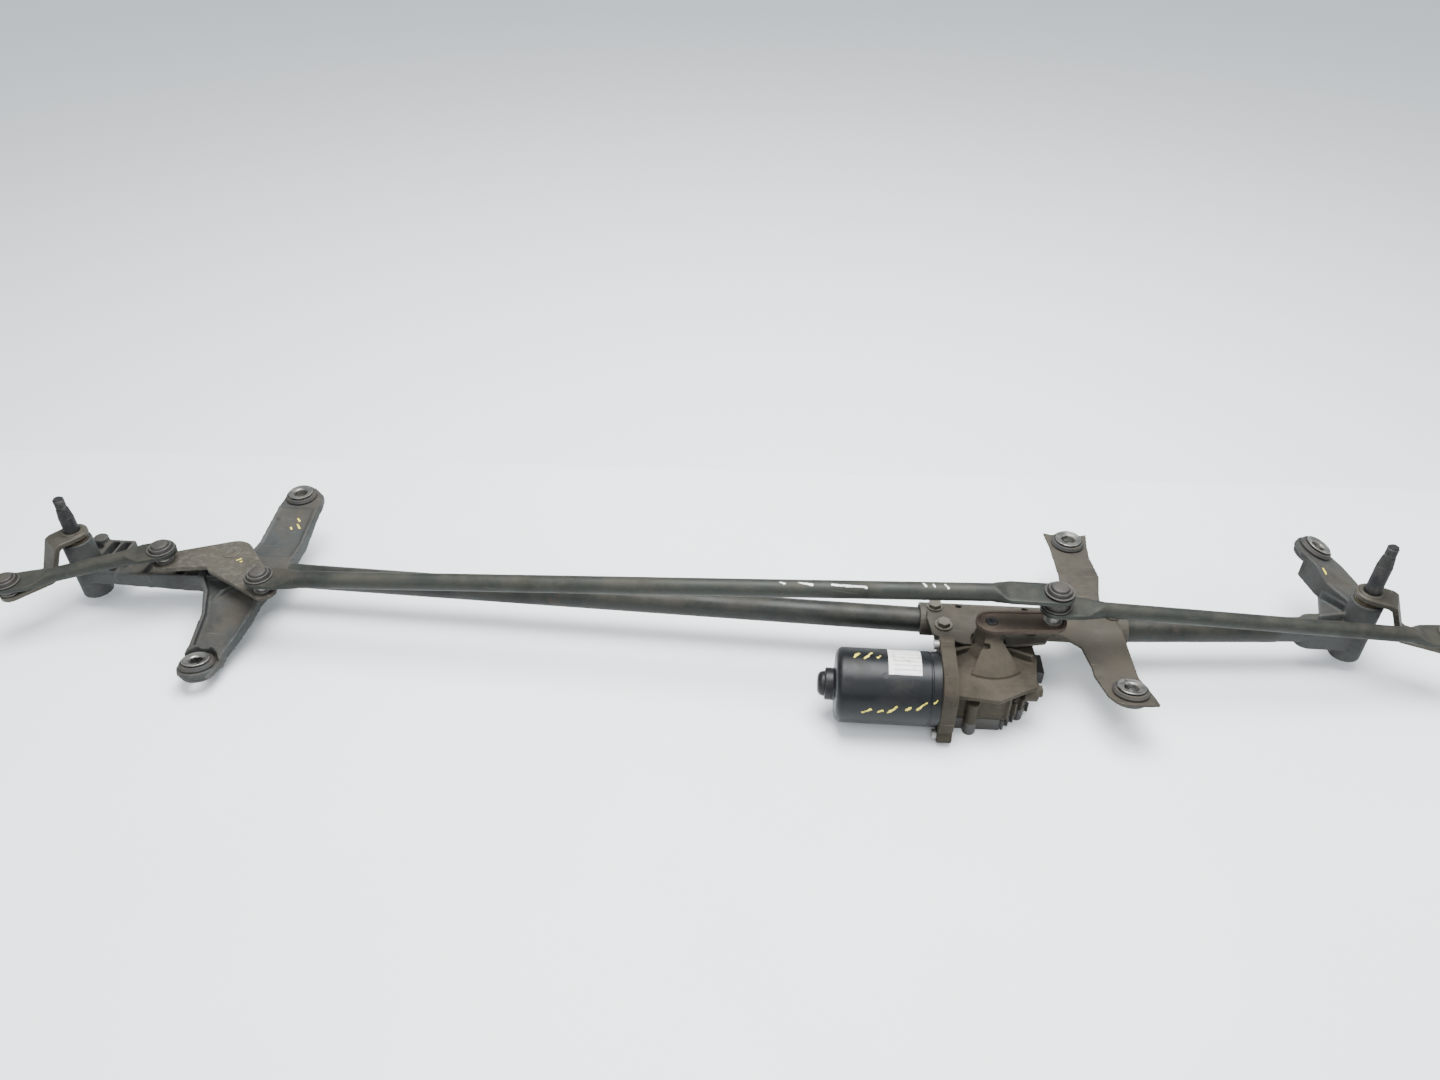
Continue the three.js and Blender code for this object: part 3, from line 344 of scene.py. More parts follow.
def stroke(x, y, start, end, width):
    """Mask of a straight dab from start to end in the plane of the values x and y."""
    dx, dy = end[0] - start[0], end[1] - start[1]
    length = math.hypot(dx, dy)
    along = ((x - start[0]) * dx + (y - start[1]) * dy) / length
    off = along.at_least(0.0).at_most(length)
    px = x - start[0] - off * (dx / length)
    py = y - start[1] - off * (dy / length)
    distance = (px * px + py * py) ** 0.5
    return 1 - distance.step(width * 0.5, width)


def strokes(x, y, dashes, width):
    """Mask of all the dashes."""
    mask, *others = [stroke(x, y, start, end, width) for start, end in dashes]
    for other in others:
        mask = mask.at_least(other)
    return mask


def can_enamel(look):
    """Blue-black enamel of the motor can with dust, scratches and plain slanted dashes of paint."""
    g = Graph("can_enamel")
    base = look.can
    cloud = g.noise(22, 5, 0.6)
    scratch = g.noise(140, 2, 0.7, stretch=(1.0, 0.2, 0.2)).step(0.67, 0.72)
    dust = (g.facing_up() * 0.22 + 0.1) * g.noise(45, 6, 0.7).step(0.42, 0.7)
    colour = g.mix(cloud.step(0.35, 0.7), base, shade(base, 0.55))
    colour = g.mix(scratch * 0.35, colour, shade(base, 3.5))
    colour = g.mix(dust, colour, shade(look.dust, 0.6))
    wander = (g.noise(170, 3) - 0.5) * (4 * MM)
    around = [g.axis("Z") - MOTOR.z, MOTOR.y - g.axis("Y")]
    turn = g.node("ShaderNodeMath", {"operation": "ARCTAN2"}, around) * CAN_RADIUS
    x, y = g.axis("X") + wander, turn - wander
    places = [(24, 1, 30, 8), (37, 3, 40, 7), (45, 4, 52, 14), (60, 10, 63, 15), (69, 12, 76, 24),
              (83, 24, 85, 28), (15, 92, 19, 101), (24, 90, 30, 104), (35, 93, 37, 97)]
    dashes = [(can_spot(a, b), can_spot(c, d)) for a, b, c, d in places]
    paint = strokes(x, y, dashes, 1.2 * MM) * g.noise(200, 4, 0.7).step(0.3, 0.5)
    colour = g.mix(paint, colour, look.paint)
    # a small dent in the can: its near-black colour is painted shade inside the dent, and its relief is a real
    # dent
    shaded_dimple = stroke(x, y, can_spot(41, 62), can_spot(41.3, 62), 2.6 * MM)
    colour = g.mix(shaded_dimple, colour, (0.004, 0.004, 0.005))
    rough = 0.3 + cloud * 0.12 + dust * 0.5 + paint * 0.2
    relief = g.noise(240, 3) * 0.4 + paint - shaded_dimple
    g.finish(colour, rough, 0.2 * (1 - paint), relief, 0.12 * MM, gloss=0.28)


def can_spot(along, angle):
    """Place on the can: millimetres from its shoulder and degrees up from its front."""
    return CAN_SHOULDER + along * MM, math.radians(angle) * CAN_RADIUS


def paper_label(look):
    """White sticker with plain grey bars and no lettering."""
    g = Graph("blank_label")
    y = g.axis("Y")
    bars = g.node("ShaderNodeMath", {"operation": "SINE"}, [y * 1400]).step(0.3, 0.6)
    margin = CAN_SHOULDER + LABEL[0] + 4 * MM
    inset = g.axis("X").step(margin, margin + 0.5 * MM)
    grime = g.noise(90, 6, 0.7).step(0.45, 0.7) * 0.5
    colour = g.mix(bars * inset * 0.55, (0.72, 0.71, 0.67), (0.25, 0.25, 0.25))
    colour = g.mix(grime, colour, shade(look.dust, 1.1))
    g.finish(colour, 0.5 + grime * 0.3, 0.0, g.noise(300, 3), 0.05 * MM)


def plain_metal(name, light, dark, roughness):
    """Inner metal that carries only a film of oil and fine turning marks."""
    g = Graph(name)
    cloud = g.noise(80, 4, 0.6)
    colour = g.mix(cloud.step(0.35, 0.7), light, dark)
    g.finish(colour, roughness + cloud * 0.2, 0.85, g.noise(500, 2), 0.1 * MM)


def make_materials(look):
    for maker in (aged_metals, plated_steel, dark_spindle, rubber, moulded_plastic, dusty_cap, can_enamel,
                  paper_label):
        maker(look)
    for name, light, dark, roughness in (
            ("bronze", (0.14, 0.11, 0.07), (0.06, 0.048, 0.032), 0.45),
            ("copper", (0.62, 0.30, 0.17), (0.35, 0.15, 0.08), 0.3),
            ("ferrite", (0.06, 0.06, 0.065), (0.03, 0.03, 0.03), 0.6),
            ("nylon", (0.70, 0.67, 0.58), (0.52, 0.48, 0.38), 0.5),
            ("core_steel", (0.30, 0.29, 0.28), (0.14, 0.13, 0.12), 0.4)):
        plain_metal(name, light, dark, roughness)


# -------- mesh helpers
def new_object(name, mesh):
    made = bpy.data.objects.new(name, mesh)
    bpy.context.scene.collection.objects.link(made)
    return made


def object_from(name, shape):
    """Object made of a bmesh, with doubles merged and faces turned outwards."""
    bmesh.ops.remove_doubles(shape, verts=shape.verts, dist=1e-6)
    bmesh.ops.recalc_face_normals(shape, faces=shape.faces)
    mesh = bpy.data.meshes.new(name)
    shape.to_mesh(mesh)
    shape.free()
    return new_object(name, mesh)


def evaluated(source, name):
    """Plain mesh object with the source's modifiers applied; the source is removed."""
    graph = bpy.context.evaluated_depsgraph_get()
    mesh = bpy.data.meshes.new_from_object(source.evaluated_get(graph))
    old = source.data
    bpy.data.objects.remove(source)
    bpy.data.meshes.remove(old)
    mesh.name = name
    return new_object(name, mesh)


def install(piece, body, finish, replaces=(), sharp=38):
    """Smooths, coats and places a finished piece on its body."""
    for polygon in piece.data.polygons:
        polygon.use_smooth = True
    piece.data.set_sharp_from_angle(angle=math.radians(sharp))
    if not piece.data.materials:
        piece.data.materials.append(MATERIALS[finish])
    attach(piece, body)
    if replaces:
        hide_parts(*replaces)


def lathe(profile, segments=64, matrix=None):
    """Solid turned about Z from (radius, z) in millimetres; off the axis, the profile closes on itself."""
    shape = bmesh.new()
    rings = []
    for radius, z in profile:
        if radius < 1e-6:
            rings.append([shape.verts.new((0, 0, z * MM))])
            continue
        ring = []
        for k in range(segments):
            a = 2 * math.pi * k / segments
            ring.append(shape.verts.new((radius * MM * math.cos(a), radius * MM * math.sin(a), z * MM)))
        rings.append(ring)
    pairs = list(zip(rings, rings[1:]))
    if len(rings[0]) > 1:
        pairs.append((rings[-1], rings[0]))
    for first, second in pairs:
        for k in range(segments):
            n = (k + 1) % segments
            corners = (first, k), (first, n), (second, n), (second, k)
            unique = list(dict.fromkeys(ring[i % len(ring)] for ring, i in corners))
            if len(unique) > 2:
                shape.faces.new(unique)
    if matrix is not None:
        bmesh.ops.transform(shape, matrix=matrix, verts=shape.verts)
    return shape


def arc(radius, centre, start, end, steps):
    """Points of an arc in the (radius, z) plane, angles in degrees."""
    points = []
    for k in range(steps + 1):
        a = math.radians(start + (end - start) * k / steps)
        points.append((centre[0] + radius * math.cos(a), centre[1] + radius * math.sin(a)))
    return points


def skin(shape, rings):
    """Joins each ring of vertices to the next one."""
    for first, second in zip(rings, rings[1:]):
        for k in range(len(first)):
            n = (k + 1) % len(first)
            shape.faces.new((first[k], first[n], second[n], second[k]))


def add_shape(target, source):
    """Adds the faces of one bmesh to another."""
    mesh = bpy.data.meshes.new("part")
    source.to_mesh(mesh)
    source.free()
    target.from_mesh(mesh)
    bpy.data.meshes.remove(mesh)


def bar(start, end, width, height):
    """Upright rib between two points, all in metres; height runs up from the points."""
    direction = (end - start).normalized()
    side = UP.cross(direction).normalized() * width / 2
    shape = bmesh.new()
    corners = [p + s + h for p in (start, end) for s in (side, -side) for h in (Vector(), UP * height)]
    points = [shape.verts.new(c) for c in corners]
    bmesh.ops.convex_hull(shape, input=points)
    return shape


def softened(name, node, voxel, extras, smoothing):
    """Copy of a CAD node, with extra shapes joined in and all its edges rounded; voxel is in millimetres."""
    shape = bmesh.new()
    shape.from_mesh(frame["nodes"][node].data)
    bmesh.ops.remove_doubles(shape, verts=shape.verts, dist=1e-6)
    for extra in extras:
        bmesh.ops.recalc_face_normals(extra, faces=extra.faces)
        add_shape(shape, extra)
    mesh = bpy.data.meshes.new(name)
    shape.to_mesh(mesh)
    shape.free()
    source = new_object(f"{name}_raw", mesh)
    remesh = source.modifiers.new("skin", "REMESH")
    remesh.mode = "VOXEL"
    remesh.voxel_size = voxel * MM
    smooth = source.modifiers.new("round", "SMOOTH")
    smooth.factor = 0.5
    smooth.iterations = smoothing
    thin = source.modifiers.new("thin", "DECIMATE")
    thin.ratio = KEPT_FACES
    return evaluated(source, name)


def install_softened(name, node, voxel, smoothing, body, finish, extras=()):
    install(softened(name, node, voxel, extras, smoothing), body, finish, [node], sharp=50)


def install_turned(name, node, profile, segments, place, body, finish):
    install(object_from(name, lathe(profile, segments, place)), body, finish, [node])


def upright(centre):
    """Matrix that stands a turned piece at a place in plan."""
    return Matrix.Translation((centre.x, centre.y, 0))


def extent(node):
    """Lowest and highest level of a CAD node, in millimetres."""
    return low(node).z / MM, high(node).z / MM


# -------- geometry node helpers
class Repeat:
    """Geometry node group that ends in Realize Instances and Set Material."""

    def __init__(self, name, inputs):
        self.tree = bpy.data.node_groups.new(name, "GeometryNodeTree")
        self.tree.interface.new_socket("Geometry", in_out="INPUT", socket_type="NodeSocketGeometry")
        self.identifiers = {}
        for label, kind in inputs.items():
            made = self.tree.interface.new_socket(label, in_out="INPUT", socket_type=f"NodeSocket{kind}")
            self.identifiers[label] = made.identifier
        self.tree.interface.new_socket("Geometry", in_out="OUTPUT", socket_type="NodeSocketGeometry")
        self.inputs = self.tree.nodes.new("NodeGroupInput")

    def given(self, label):
        return self.inputs.outputs[label]

    def node(self, kind, settings=None, sockets=None):
        made = self.tree.nodes.new(kind)
        for key, value in (settings or {}).items():
            setattr(made, key, value)
        for key, value in (sockets or {}).items():
            if isinstance(value, bpy.types.NodeSocket):
                self.tree.links.new(value, made.inputs[key])
            else:
                made.inputs[key].default_value = value
        return made.outputs[0]

    def end(self, geometry, finish):
        real = self.node("GeometryNodeRealizeInstances", sockets={"Geometry": geometry})
        coated = self.node("GeometryNodeSetMaterial", sockets={"Geometry": real, "Material": finish})
        output = self.tree.nodes.new("NodeGroupOutput")
        self.tree.links.new(coated, output.inputs[0])

    def bake(self, source, name, values):
        modifier = source.modifiers.new("repeat", "NODES")
        modifier.node_group = self.tree
        for label, value in values.items():
            modifier[self.identifiers[label]] = value
        return evaluated(source, name)


def row_of(finish):
    """Copies the unit along a straight line."""
    made = Repeat("row", {"Count": "Int", "Offset": "Vector"})
    line = made.node("GeometryNodeMeshLine", {"mode": "OFFSET"},
                     {"Count": made.given("Count"), "Offset": made.given("Offset")})
    copies = made.node("GeometryNodeInstanceOnPoints",
                       sockets={"Points": line, "Instance": made.given("Geometry")})
    made.end(copies, finish)
    return made


def ring_of(finish):
    """Copies the unit, modelled at its place, around the Z axis."""
    made = Repeat("ring", {"Count": "Int", "Step": "Float"})
    line = made.node("GeometryNodeMeshLine", {"mode": "OFFSET"},
                     {"Count": made.given("Count"), "Offset": (0, 0, 0)})
    index = made.node("GeometryNodeInputIndex")
    angle = made.node("ShaderNodeMath", {"operation": "MULTIPLY"}, {0: index, 1: made.given("Step")})
    turn = made.node("ShaderNodeCombineXYZ", sockets={"Z": angle})
    copies = made.node("GeometryNodeInstanceOnPoints",
                       sockets={"Points": line, "Instance": made.given("Geometry"), "Rotation": turn})
    made.end(copies, finish)
    return made


def screw_thread(finish):
    """Sweeps a four-sided ridge along a helix."""
    made = Repeat("thread", {"Radius": "Float", "Height": "Float", "Turns": "Float", "Ridge": "Float"})
    helix = made.node("GeometryNodeCurveSpiral", sockets={
        "Resolution": 24, "Rotations": made.given("Turns"), "Start Radius": made.given("Radius"),
        "End Radius": made.given("Radius"), "Height": made.given("Height")})
    ridge = made.node("GeometryNodeCurvePrimitiveCircle",
                      sockets={"Resolution": 4, "Radius": made.given("Ridge")})
    swept = made.node("GeometryNodeCurveToMesh",
                      sockets={"Curve": helix, "Profile Curve": ridge, "Fill Caps": True})
    made.end(swept, finish)
    return made


# -------- properties
class WiperSizes(bpy.types.PropertyGroup):
    seam_depth: FloatProperty(name="Seam Depth", description="Depth of the tube's rolled seam",
                              default=0.0011, unit="LENGTH")
    thread_turns: FloatProperty(name="Thread Turns", description="Turns of thread on a spindle tip",
                                default=7.0)
    flutes: IntProperty(name="Flutes", description="Knurled flutes round a spindle cone", default=28)
    cover_ribs: IntProperty(name="Cover Ribs", description="Ribs on the front of the gearbox cover",
                            default=6)
    floor_size: FloatProperty(name="Floor Size", description="Side of the table", default=24.0, unit="LENGTH")


class WiperFinish(bpy.types.PropertyGroup):
    casting: FloatVectorProperty(name="Casting", description="Die-cast aluminium", subtype="COLOR",
                                 default=(0.042, 0.045, 0.044))
    steel: FloatVectorProperty(name="Sheet Steel", description="Pressed brackets", subtype="COLOR",
                               default=(0.052, 0.047, 0.038))
    link: FloatVectorProperty(name="Link Steel", description="Links between the cranks", subtype="COLOR",
                              default=(0.024, 0.027, 0.023))
    tube: FloatVectorProperty(name="Tube Paint", description="Frame tubes", subtype="COLOR",
                              default=(0.013, 0.015, 0.013))
    gear_case: FloatVectorProperty(name="Gear Case", description="Gear housing", subtype="COLOR",
                                   default=(0.035, 0.029, 0.02))
    can: FloatVectorProperty(name="Motor Can", description="Enamel of the motor can", subtype="COLOR",
                             default=(0.0025, 0.0035, 0.005))
    dust: FloatVectorProperty(name="Dust", description="Road dust", subtype="COLOR",
                              default=(0.058, 0.048, 0.036))
    rust: FloatVectorProperty(name="Rust", description="Rust in pits", subtype="COLOR",
                              default=(0.055, 0.024, 0.012))
    paint: FloatVectorProperty(name="Marking Paint", description="Dabs of marking paint", subtype="COLOR",
                               default=(0.72, 0.60, 0.08))


# -------- operators
class WIPER_OT_materials(bpy.types.Operator):
    """Makes every finish"""
    bl_idname = "wiper.materials"
    bl_label = "Finishes"

    def execute(self, context):
        make_materials(context.scene.wiper_finish)
        return {"FINISHED"}


class WIPER_OT_brackets(bpy.types.Operator):
    """Makes the two castings and the pressed motor bracket"""
    bl_idname = "wiper.brackets"
    bl_label = "Brackets"

    def execute(self, context):
        install_softened("left_casting", "left_bracket", 1.1, 4, "frame", "cast_aluminium",
                         left_casting_details())
        install_softened("right_casting", "right_bracket", 0.9, 4, "frame", "cast_aluminium")
        install_softened("pressed_bracket", "motor_bracket", 0.75, 3, "frame", "sheet_steel")
        return {"FINISHED"}


def left_casting_details():
    """Thin stiffening ribs on the beam and ejector marks on both arms."""
    details = []
    for part in (0.24, 0.47, 0.70):
        at = SPINDLES["left"].lerp(PIVOT, part)
        foot = Vector((at.x, at.y - 17.2 * MM, 36 * MM))
        details.append(bar(foot, foot + Vector((0, 6 * MM, 0)), 2 * MM, 9.5 * MM))
    button = [(0, 0), (3.4, 0), (3.0, 1.1), (0, 1.25)]
    for x, y, z in ((-428, 42, 47.8), (-433, 72, 57.2), (-437, -80, 23.5), (-450, -62, 31), (-421, 62, 53.7)):
        details.append(lathe(button, 20, Matrix.Translation((*spot(x, y), z * MM))))
    return details


class WIPER_OT_tubes(bpy.types.Operator):
    """Makes the frame tubes with their rolled seam"""
    bl_idname = "wiper.tubes"
    bl_label = "Frame Tubes"

    def execute(self, context):
        depth = context.scene.wiper_sizes.seam_depth
        for side in ("left", "right"):
            node = f"frame_tube_{side}"
            tube = frame_tube(f"tube_{side}", node, depth)
            install(tube, "frame", "tube_paint", [node], sharp=30)
        return {"FINISHED"}


def tube_line(node):
    """Centres of the two ends of a CAD tube."""
    points = [Vector(v.co) for v in frame["nodes"][node].data.vertices]
    west, east = min(p.x for p in points), max(p.x for p in points)
    ends = []
    for edge in (west, east):
        near = [p for p in points if abs(p.x - edge) < 2 * MM]
        ys, zs = [p.y for p in near], [p.z for p in near]
        ends.append(Vector((edge, (min(ys) + max(ys)) / 2, (min(zs) + max(zs)) / 2)))
    return ends


def frame_tube(name, node, depth):
    """Open-ended tube with a groove and a lip along its seam."""
    start, end = tube_line(node)
    radius = (high(node).z - low(node).z) / 2 - 0.1 * MM
    sides = 72
    direction = (end - start).normalized()
    across = direction.cross(UP).normalized()
    shape = bmesh.new()
    rings = []
    steps = 24
    for inner in (False, True):
        for k in range(steps + 1) if not inner else range(steps, -1, -1):
            centre = start.lerp(end, k / steps)
            ring = []
            for n in range(sides):
                a = 2 * math.pi * n / sides
                off = math.degrees(a) - SEAM_ANGLE
                groove = depth * math.exp(-(off / SEAM_SPREAD) ** 2)
                lip = LIP_HEIGHT * math.exp(-((off - LIP_ANGLE) / LIP_SPREAD) ** 2)
                r = radius - TUBE_WALL if inner else radius - LIP_HEIGHT - groove + lip
                ring.append(shape.verts.new(centre + across * r * math.cos(a) + UP * r * math.sin(a)))
            rings.append(ring)
    skin(shape, rings + rings[:1])
    return object_from(name, shape)


class WIPER_OT_feet(bpy.types.Operator):
    """Makes the rubber grommets and their steel sleeves"""
    bl_idname = "wiper.feet"
    bl_label = "Rubber Feet"

    def execute(self, context):
        for name, sheet in FEET.items():
            place = foot_matrix(name, sheet)
            install_turned(f"rubber_{name}", f"grommet_{name}", grommet_profile(sheet), 64, place,
                           "frame", "grommet_rubber")
            install_turned(f"eyelet_{name}", f"sleeve_{name}", sleeve_profile(sheet), 64, place,
                           "frame", "plated_steel")
        return {"FINISHED"}


def foot_matrix(name, sheet):
    """Centre of the pad and its lean, worked out from the mount on the sleeve's flange."""
    mount = MOUNTS[f"foot_{name}"]
    axis = Vector(mount["axis"]).normalized()
    reach = Vector((0, 1, 0))
    reach = (reach - axis * reach.dot(axis)).normalized()
    centre = Vector(mount["pos_m"]) - reach * MOUNT_REACH * MM - axis * (sheet / 2 + FLANGE_ABOVE_PAD) * MM
    return Matrix.Translation(centre) @ axis.to_track_quat("Z", "Y").to_matrix().to_4x4()


def grommet_profile(sheet):
    half = sheet / 2 + 0.3
    lip = 4.4
    upper = [(11.2, half), (15.0, half), *arc(1.2, (14.3, half + 1.3), -30, 60, 5),
             *arc(1.5, (13.2, half + lip - 1.5), 20, 100, 5),
             (12.7, half + lip - 0.7), (7.3, half + lip - 0.7)]
    lower = [(r, -z) for r, z in reversed(upper)]
    return lower + upper


def sleeve_profile(sheet):
    half = sheet / 2 + 0.3
    top = half + 4.8
    return [(5.9, -half - 4.4), (6.8, -half - 4.4), (6.85, top), (11.6, top),
            *arc(0.75, (11.4, top + 0.8), -80, 110, 7), (10.4, top + 1.2), (8.6, top + 0.9), (7.2, top + 0.5),
            (6.5, top + 0.1), (6.0, top - 0.8), (5.9, top - 2.0)]


class WIPER_OT_joints(bpy.types.Operator):
    """Makes the ball studs, sockets and pressed caps"""
    bl_idname = "wiper.ball_joints"
    bl_label = "Ball Joints"

    def execute(self, context):
        for node, (body, centre) in BALLS.items():
            profile = socket_profile(*extent(node), node == "right_link_socket_left")
            install_turned(f"{node}_fine", node, profile, 56, upright(centre),
                           body, "joint_cap")
        studs = {"bell_crank_ball": "bell_crank", "crank_pin_upper": "drag_link",
                 "left_lever_ball": "left_spindle", "right_lever_ball": "right_spindle",
                 "crank_pin_lower": "right_link", "left_link_ball": "left_link"}
        for node, body in studs.items():
            install_turned(f"{node}_fine", node, stud_profile(*extent(node)), 48, upright(middle(node)),
                           body, "core_steel")
        return {"FINISHED"}


def socket_profile(base, top, flat):
    """Skirt, crimped ring and domed cap of a ball socket; a flat one sits under another joint."""
    ball = base + 4.7
    ring = [(9.7, base), (9.7, ball + 2.95), (12.4, ball + 2.95), *arc(0.65, (12.1, ball + 3.65), -70, 90, 6),
            (11.3, ball + 4.15), (10.9, ball + 3.5), (10.5, ball + 3.45), (10.2, ball + 4.4)]
    if flat:
        crown = [(9.9, ball + 5.4), (9.4, ball + 7.6), (8.8, top - 0.1), (0, top - 0.05)]
    else:
        crown = [(9.9, ball + 5.6), *arc(1.0, (8.9, ball + 6.2), 0, 70, 4), (8.2, ball + 6.9),
                 (7.9, ball + 6.5), (7.6, ball + 7.0), *arc(1.6, (5.9, top - 1.8), 15, 80, 5),
                 (4.6, top - 0.15), (2.4, top), (0, top)]
    cavity = arc(7.6, (0, ball), 80, -28, 9)
    return [(0, ball + 7.6)] + cavity + ring + crown


def stud_profile(base, top):
    ball = top - 7
    sphere = arc(7, (0, ball), -52, 84, 18)
    return [(0, base), (7.7, base), (8, base + 0.3), (8, base + 0.8), (5.2, base + 1.2)] + sphere + [(0, top)]


class WIPER_OT_links(bpy.types.Operator):
    """Makes the three links, tubes pressed flat at their ends"""
    bl_idname = "wiper.links"
    bl_label = "Links"

    def execute(self, context):
        for body, flat_start, flat_end, radius in (
                ("drag_link", 16, 40, 8.0), ("right_link", 20, 22, 7.0), ("left_link", 18, 18, 7.0)):
            start, end = (BALLS[f"{body}_socket_{side}"][1].copy() for side in ("left", "right"))
            node = f"{body}_rod"
            start.z, end.z = rod_levels(node, start, end)
            rod = link_rod(f"{body}_bar", start, end, flat_start * MM, flat_end * MM, radius * MM)
            install(rod, body, "link_steel", [node], sharp=45)
        return {"FINISHED"}


def rod_levels(node, start, end):
    """Heights of the middle of the flattened ends of a CAD rod."""
    points = [Vector(v.co) for v in frame["nodes"][node].data.vertices]
    levels = []
    for centre in (start, end):
        near = [p.z for p in points if (p - centre).xy.length < LINK_TIP + 0.3 * MM]
        levels.append((min(near) + max(near)) / 2)
    return levels


def link_rod(name, start, end, flat_start, flat_end, radius):
    """Lofted rod: round in the middle, flat with a round tip at both ends."""
    run = Vector((end.x - start.x, end.y - start.y, 0))
    length = run.length
    along = run.normalized()
    across = Vector((-along.y, along.x, 0))
    tip, ramp, sides = LINK_TIP, LINK_RAMP, 40

    def blend(a, b, t):
        t = max(0.0, min(1.0, t))
        return a + (b - a) * t * t * (3 - 2 * t)

    def section(x):
        climb = (x - flat_start) / (length - flat_start - flat_end)
        level = start.z + (end.z - start.z) * max(0, min(1, climb))
        flatness = max(1 - (x - flat_start) / ramp, 1 - (length - flat_end - x) / (ramp * 0.7))
        width = blend(radius, tip, flatness)
        height = blend(radius, LINK_HALF_STRIP, flatness * 1.15)
        beyond = max(-x, x - length, 0)
        if beyond > 0:
            width = math.sqrt(max(tip * tip - beyond * beyond, (0.6 * MM) ** 2))
        power = 2.0 + 5.0 * max(0.0, min(1.0, flatness))
        return level, width, height, power

    stations = [-tip * math.cos(math.radians(a)) for a in range(0, 90, 9)]
    stations += [flat_start * k / 4 for k in range(5)]
    stations += [flat_start + ramp * k / 12 for k in range(1, 13)]
    middle_run = length - flat_start - flat_end - 2 * ramp
    stations += [flat_start + ramp + middle_run * k / 10 for k in range(1, 11)]
    stations += [length - flat_end - ramp + ramp * k / 12 for k in range(1, 13)]
    stations += [length - flat_end + flat_end * k / 4 for k in range(1, 5)]
    stations += [length + tip * math.sin(math.radians(a)) for a in range(9, 91, 9)]
    shape = bmesh.new()
    rings = []
    for x in stations:
        level, width, height, power = section(x)
        ring = []
        for k in range(sides):
            a = 2 * math.pi * k / sides
            c, s = math.cos(a), math.sin(a)
            u = math.copysign(abs(c) ** (2 / power), c) * width
            v = math.copysign(abs(s) ** (2 / power), s) * height
            centre = Vector((start.x, start.y, level)) + along * x
            ring.append(shape.verts.new(centre + across * u + UP * v))
        rings.append(ring)
    skin(shape, rings)
    shape.faces.new(rings[0])
    shape.faces.new(rings[-1])
    return object_from(name, shape)


class WIPER_OT_cranks(bpy.types.Operator):
    """Makes the motor crank, the bell crank and both spindle levers"""
    bl_idname = "wiper.cranks"
    bl_label = "Cranks and Levers"

    def execute(self, context):
        install_softened("motor_crank_arm", "crank_arm", 0.5, 3, "crank", "crank_steel")
        install_softened("bell_crank_arm", "bell_crank_plate", 0.6, 3, "bell_crank", "bell_steel")
        for side in ("left", "right"):
            install_softened(f"{side}_lever_arm", f"{side}_lever", 0.6, 5, f"{side}_spindle", "lever_steel")
        install_turned("pivot_pin", "bell_crank_pin", pin_profile(*extent("bell_crank_pin")), 56,
                       upright(PIVOT), "bell_crank", "bell_steel")
        install_turned("motor_output_shaft", "output_shaft", output_profile(*extent("output_shaft")), 48,
                       upright(AXLE), "crank", "spindle_steel")
        return {"FINISHED"}


def pin_profile(base, top):
    """Pivot pin with a low peened head that has a dimple in its middle."""
    head = top - 2.0
    return [(0, base), (6.2, base), (6.7, base + 0.5), (6.7, head), (8.0, head), (8.4, head + 0.3),
            (8.2, head + 0.8), (6.4, head + 1.2), (5.6, top - 0.3), (4.8, top), (4.0, top - 0.2),
            (3.2, top - 0.9), (0, top - 1.2)]


def output_profile(base, top):
    return [(0, base), (6, base), (6, top - 7), (5, top - 6.4), (5, top - 0.5), (4.4, top - 0.1),
            (2.4, top - 0.2), (1.6, top - 1.4), (0, top - 1.8)]


class WIPER_OT_spindles(bpy.types.Operator):
    """Makes both spindles with knurled cones and threaded tips"""
    bl_idname = "wiper.spindles"
    bl_label = "Spindles"

    def execute(self, context):
        sizes = context.scene.wiper_sizes
        for side, centre in SPINDLES.items():
            node, body, place = f"{side}_spindle_shaft", f"{side}_spindle", upright(centre)
            base, tip = extent(node)
            install_turned(f"{side}_shaft", node, shaft_profile(base, tip), 56, place,
                           body, "spindle_steel")
            values = {"Count": sizes.flutes, "Step": 2 * math.pi / sizes.flutes}
            unit = object_from("flute", flute_shape(tip))
            flutes = ring_of(MATERIALS["spindle_steel"]).bake(unit, f"{side}_knurl", values)
            flutes.data.transform(place)
            install(flutes, body, "spindle_steel")
            seed = new_object("seed", bpy.data.meshes.new("seed"))
            values = {"Radius": 4.35 * MM, "Height": 8.6 * MM, "Turns": sizes.thread_turns,
                      "Ridge": 0.62 * MM}
            thread = screw_thread(MATERIALS["spindle_steel"]).bake(seed, f"{side}_thread", values)
            thread.data.transform(place @ Matrix.Translation((0, 0, (tip - THREAD_START) * MM)))
            install(thread, body, "spindle_steel")
        return {"FINISHED"}


def shaft_profile(base, tip):
    return [(0, base), (6.0, base), (6.7, base + 0.6), (6.7, tip - 21.5), (6.3, tip - 21), (5.9, tip - 20),
            (4.9, tip - 11.4), (4.25, tip - 10.8), (4.25, tip - 1.0), (3.6, tip - 0.1), (0, tip)]


def flute_shape(tip):
    """One ridge of the knurl, lying on the cone."""
    shape = bmesh.new()
    top, bottom = (5.25, tip - 11.6), (6.25, tip - 20)
    corners = []
    for radius, z in (top, bottom):
        corners += [(radius - 0.5, -0.5, z), (radius - 0.5, 0.5, z), (radius + 0.12, 0, z)]
    points = [shape.verts.new(Vector(c) * MM) for c in corners]
    bmesh.ops.convex_hull(shape, input=points)
    return shape


